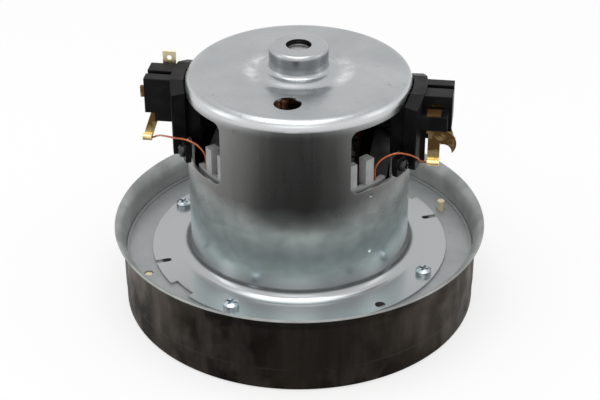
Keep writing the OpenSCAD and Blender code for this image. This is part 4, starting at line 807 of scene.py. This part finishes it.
foot = round_spot(FOOT_RADIUS, FOOT_TURN, FOOT_HEIGHT)
rise = [foot, foot + Vector((0, 0, 2 * WIRE)), foot + Vector((0, 0, 5.7 * WIRE))]
to_leg = rise + [
    route_spot(HOUSING_IN, -2.3, 35.8, 0.85), route_spot(HOUSING_IN, -0.4, 32.3, 1.15),
    route_spot(HOUSING_OUT, 2, 27.3, 1.28), route_spot(SADDLE_OUT, -1.3, 22.9, 1.09),
    route_spot(SADDLE_OUT, 1, 18.6, 0.71),
    LEG_CRIMP + CRIMP * Vector((-1.1, -0.5, 0.5)), LEG_CRIMP + CRIMP * Vector((-0.4, 0, 0)),
    LEG_CRIMP, LEG_CRIMP + CRIMP * Vector((1.25, 0, 0)),
]
to_clip = rise + [
    route_spot(HOUSING_IN, -2.3, 35.9, 0.85), route_spot(HOUSING_IN, 0, 32.9, 1.18),
    route_spot(HOUSING_OUT, 2.7, 28.5, 1.34), route_spot(SADDLE_OUT, -0.3, 23.6, 1.24),
    route_spot(SADDLE_OUT, 3.4, 17.4, 1), route_spot(SADDLE_OUT, 6.6, 11.6, 0.68),
    CLIP_CRIMP + CRIMP * Vector((-1.25, -0.33, 0.33)), CLIP_CRIMP + CRIMP * Vector((-0.75, 0, 0)),
    CLIP_CRIMP + CRIMP * Vector((0.4, 0, 0)),
]
to_left_clip = [Vector((-p.x, p.y, p.z)) for p in to_clip]
lead_routes = {
    "lead_front_right": to_leg, "lead_front_left": to_left_clip,
    "lead_rear_left": half_turn(to_leg), "lead_rear_right": half_turn(to_left_clip),
}
for name, route in lead_routes.items():
    lead = wire_mesh("wire_" + name, [smooth_path(route, LEAD_STEPS)], WIRE, sides=12, finish=enamelled_wire)
    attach(lead, "motor_frame")
    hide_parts(name)

# %% [markdown]
# A field coil is wire wound round a pole: turn lies beside turn, and the sides show the layers below.
# Winding every layer would be thousands of faces that nobody sees, so a plain core fills the middle, the
# outer layer is one run of wire, and flat spirals on both sides show the layers. The coil is a rounded
# square, which a superellipse draws with one formula.

# %% Field coils
COIL_WIRE = 0.76
COIL_TURNS = 9
SPIRAL_TURNS = 6
SPIRAL_INSET = 1.1
COIL_IN, COIL_OUT, COIL_MIDDLE = 21.2, 29.16, 47.3
LOOP_WIDE, LOOP_HIGH = 19.47, 17.42
CORE_WIDE, CORE_HIGH = 18.84, 16.79
HOLE_WIDE, HOLE_HIGH = 13.25, 11.2
CORE_INSET = 0.6 * COIL_WIRE
SQUARENESS = 5
TURN_STEPS = 48


def rounded_square(wide, high, turn):
    """A point on a superellipse, which is a circle at squareness 2 and nears a square above it."""
    def bulge(v):
        return math.copysign(abs(v) ** (2 / SQUARENESS), v)
    return wide * bulge(math.cos(turn)), high * bulge(math.sin(turn))


def coil_runs():
    """Paths of one coil: its outer layer, and a flat spiral on each side."""
    first = COIL_IN + COIL_WIRE / 2
    last = COIL_OUT - COIL_WIRE / 2
    top = COIL_MIDDLE + LOOP_HIGH
    tail = 2 * COIL_WIRE
    layer = [Vector((tail, first, top)), Vector((tail / 2, first, top))]
    for i in range(COIL_TURNS * TURN_STEPS + 1):
        x, z = rounded_square(LOOP_WIDE, LOOP_HIGH, math.pi / 2 + 2 * math.pi * i / TURN_STEPS)
        layer.append(Vector((x, first + (last - first) * i / (COIL_TURNS * TURN_STEPS), COIL_MIDDLE + z)))
    layer += [Vector((-tail / 2, last, top)), Vector((-tail, last, top))]
    runs = [layer]
    for y in (first, last):
        spiral = []
        for i in range(SPIRAL_TURNS * TURN_STEPS + 1):
            inward = COIL_WIRE * (SPIRAL_INSET + i / TURN_STEPS)
            turn = -math.pi / 2 + 2 * math.pi * i / TURN_STEPS
            x, z = rounded_square(LOOP_WIDE - inward, LOOP_HIGH - inward, turn)
            spiral.append(Vector((x, y, COIL_MIDDLE + z)))
        runs.append(spiral)
    return runs


def coil_core(name):
    """The hidden middle of a coil: a rounded square ring, set in from the wire on both sides."""
    near, far = COIL_IN + CORE_INSET, COIL_OUT - CORE_INSET
    rims = [(CORE_WIDE, CORE_HIGH, near), (CORE_WIDE, CORE_HIGH, far),
            (HOLE_WIDE, HOLE_HIGH, far), (HOLE_WIDE, HOLE_HIGH, near)]
    corners = []
    for wide, high, y in rims:
        for k in range(TURN_STEPS):
            x, z = rounded_square(wide, high, 2 * math.pi * k / TURN_STEPS)
            corners.append(Vector((x, y, COIL_MIDDLE + z)))
    faces = closed_faces(len(rims), TURN_STEPS)
    return mesh_piece(name, corners, faces, [False] * len(faces), enamelled_wire)


for name, turned in (("field_coil_rear", False), ("field_coil_front", True)):
    runs = [half_turn(run) for run in coil_runs()] if turned else coil_runs()
    coil = wire_mesh("wire_" + name, runs, COIL_WIRE, sides=8, finish=enamelled_wire)
    core = coil_core("core_" + name)
    if turned:
        core.rotation_euler = (0, 0, math.pi)
    for piece in (coil, core):
        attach(piece, "motor_frame")
        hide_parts(name)

# %% [markdown]
# Behind each carbon brush a coil spring pushes it on to the commutator. It is a plain helix of nine curls,
# which a formula gives at the exact length, where a screw modifier would have to be fitted to it. When the
# brush slides out, the spring gets shorter towards the closed end of its tube. Each spring gets a mesh of its
# own, and nothing here squashes it.

# %% Brush springs
SPRING_WIRE = 0.7
SPRING_WIDE = 4.9
SPRING_IN, SPRING_OUT = 38.1, 51.9
SPRING_CURLS = 9
CURL_STEPS = 24
SPRING_STEPS = SPRING_CURLS * CURL_STEPS
helix = []
for i in range(SPRING_STEPS + 1):
    turn = 2 * math.pi * SPRING_CURLS * i / SPRING_STEPS
    along = SPRING_IN + (SPRING_OUT - SPRING_IN) * i / SPRING_STEPS
    across = SPRING_WIDE / 2 * math.cos(turn)
    helix.append(Vector((along, across, BRUSH_HEIGHT + SPRING_WIDE / 2 * math.sin(turn))))
for side, sign in (("right", 1), ("left", -1)):
    path = helix if sign > 0 else half_turn(helix)
    spring = wire_mesh("coil_brush_spring_" + side, [path], SPRING_WIRE, sides=10, finish=ground_steel)
    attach(spring, "motor_frame")
    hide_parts("brush_spring_" + side)
    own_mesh(spring)

# %% [markdown]
# The armature's winding fills 22 slots, and its end turns cross from slot to slot round the shaft in a
# dense knot. Each crossing is a bowed path between two slots nearly opposite each other. Winding every wire
# would be far too much, so a strand stands for a bundle of them, a core under the strands closes the gaps,
# and thick bars fill the slots. The whole winding turns with the rotor.

# %% Armature winding
SLOTS = 22
SLOT_RADIUS = 15.6
SLOT_BAR = 2.6
SLOT_BAR_HEIGHTS = (35.05, 47.3, 59.55)
STRAND = 1.7
STRAND_STEPS = 6
SPAN = 9
# Heights of the base and the tip of each knot.
UPPER_END = (58.3, 68.3)
LOWER_END = (36.3, 29.7)
KNOT_RADIUS, KNOT_HALF_WIDE, KNOT_FILL = 12.0, 4.4, 0.86
KNOT_STEPS, KNOT_LOOPS = 24, 64
# Points of a crossing: share of the way to the far slot, radius, and share of the end's height.
CROSSING = [
    (0.0, SLOT_RADIUS, 0.0), (0.12, SLOT_RADIUS + 1.0, 0.3), (0.3, SLOT_RADIUS - 1.2, 0.68), (0.5, 9.2, 0.8),
    (0.7, SLOT_RADIUS - 1.2, 0.62), (0.88, SLOT_RADIUS + 0.9, 0.3), (1.0, SLOT_RADIUS, 0.0),
]


def slot_spot(slot, radius, z):
    turn = 2 * math.pi * slot / SLOTS
    return Vector((radius * math.cos(turn), radius * math.sin(turn), z))


def crossings(base, tip):
    """Bowed paths from each slot to the one nearly opposite, lying over each other like the end turns."""
    paths = []
    for slot in range(SLOTS):
        points = [slot_spot(slot + SPAN * along, radius, base + (tip - base) * up)
                  for along, radius, up in CROSSING]
        paths.append(smooth_path(points, STRAND_STEPS))
    return paths


def knot_core(name, base, tip):
    """The rounded ring under the strands of one end."""
    section = []
    for i in range(KNOT_STEPS):
        x, z = rounded_square(KNOT_HALF_WIDE, abs(tip - base) / 2 * KNOT_FILL, 2 * math.pi * i / KNOT_STEPS)
        section.append((KNOT_RADIUS + x, (base + tip) / 2 + z))
    corners = []
    for loop in range(KNOT_LOOPS):
        turn = 2 * math.pi * loop / KNOT_LOOPS
        corners += [Vector((r * math.cos(turn), r * math.sin(turn), z)) for r, z in section]
    faces = closed_faces(KNOT_LOOPS, KNOT_STEPS)
    return mesh_piece(name, corners, faces, [True] * len(faces), varnished_winding)


strand_paths = crossings(*UPPER_END) + crossings(*LOWER_END)
bar_paths = [[slot_spot(slot, SLOT_RADIUS, z) for z in SLOT_BAR_HEIGHTS] for slot in range(SLOTS)]
winding = [
    wire_mesh("winding_strands", strand_paths, STRAND, sides=8, finish=varnished_winding),
    wire_mesh("winding_slot_bars", bar_paths, SLOT_BAR, sides=10, finish=varnished_winding),
    knot_core("winding_core_upper", *UPPER_END),
    knot_core("winding_core_lower", *LOWER_END),
]
for piece in winding:
    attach(piece, "rotor")
    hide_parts("armature_winding")
print("winding pieces:", len(winding))
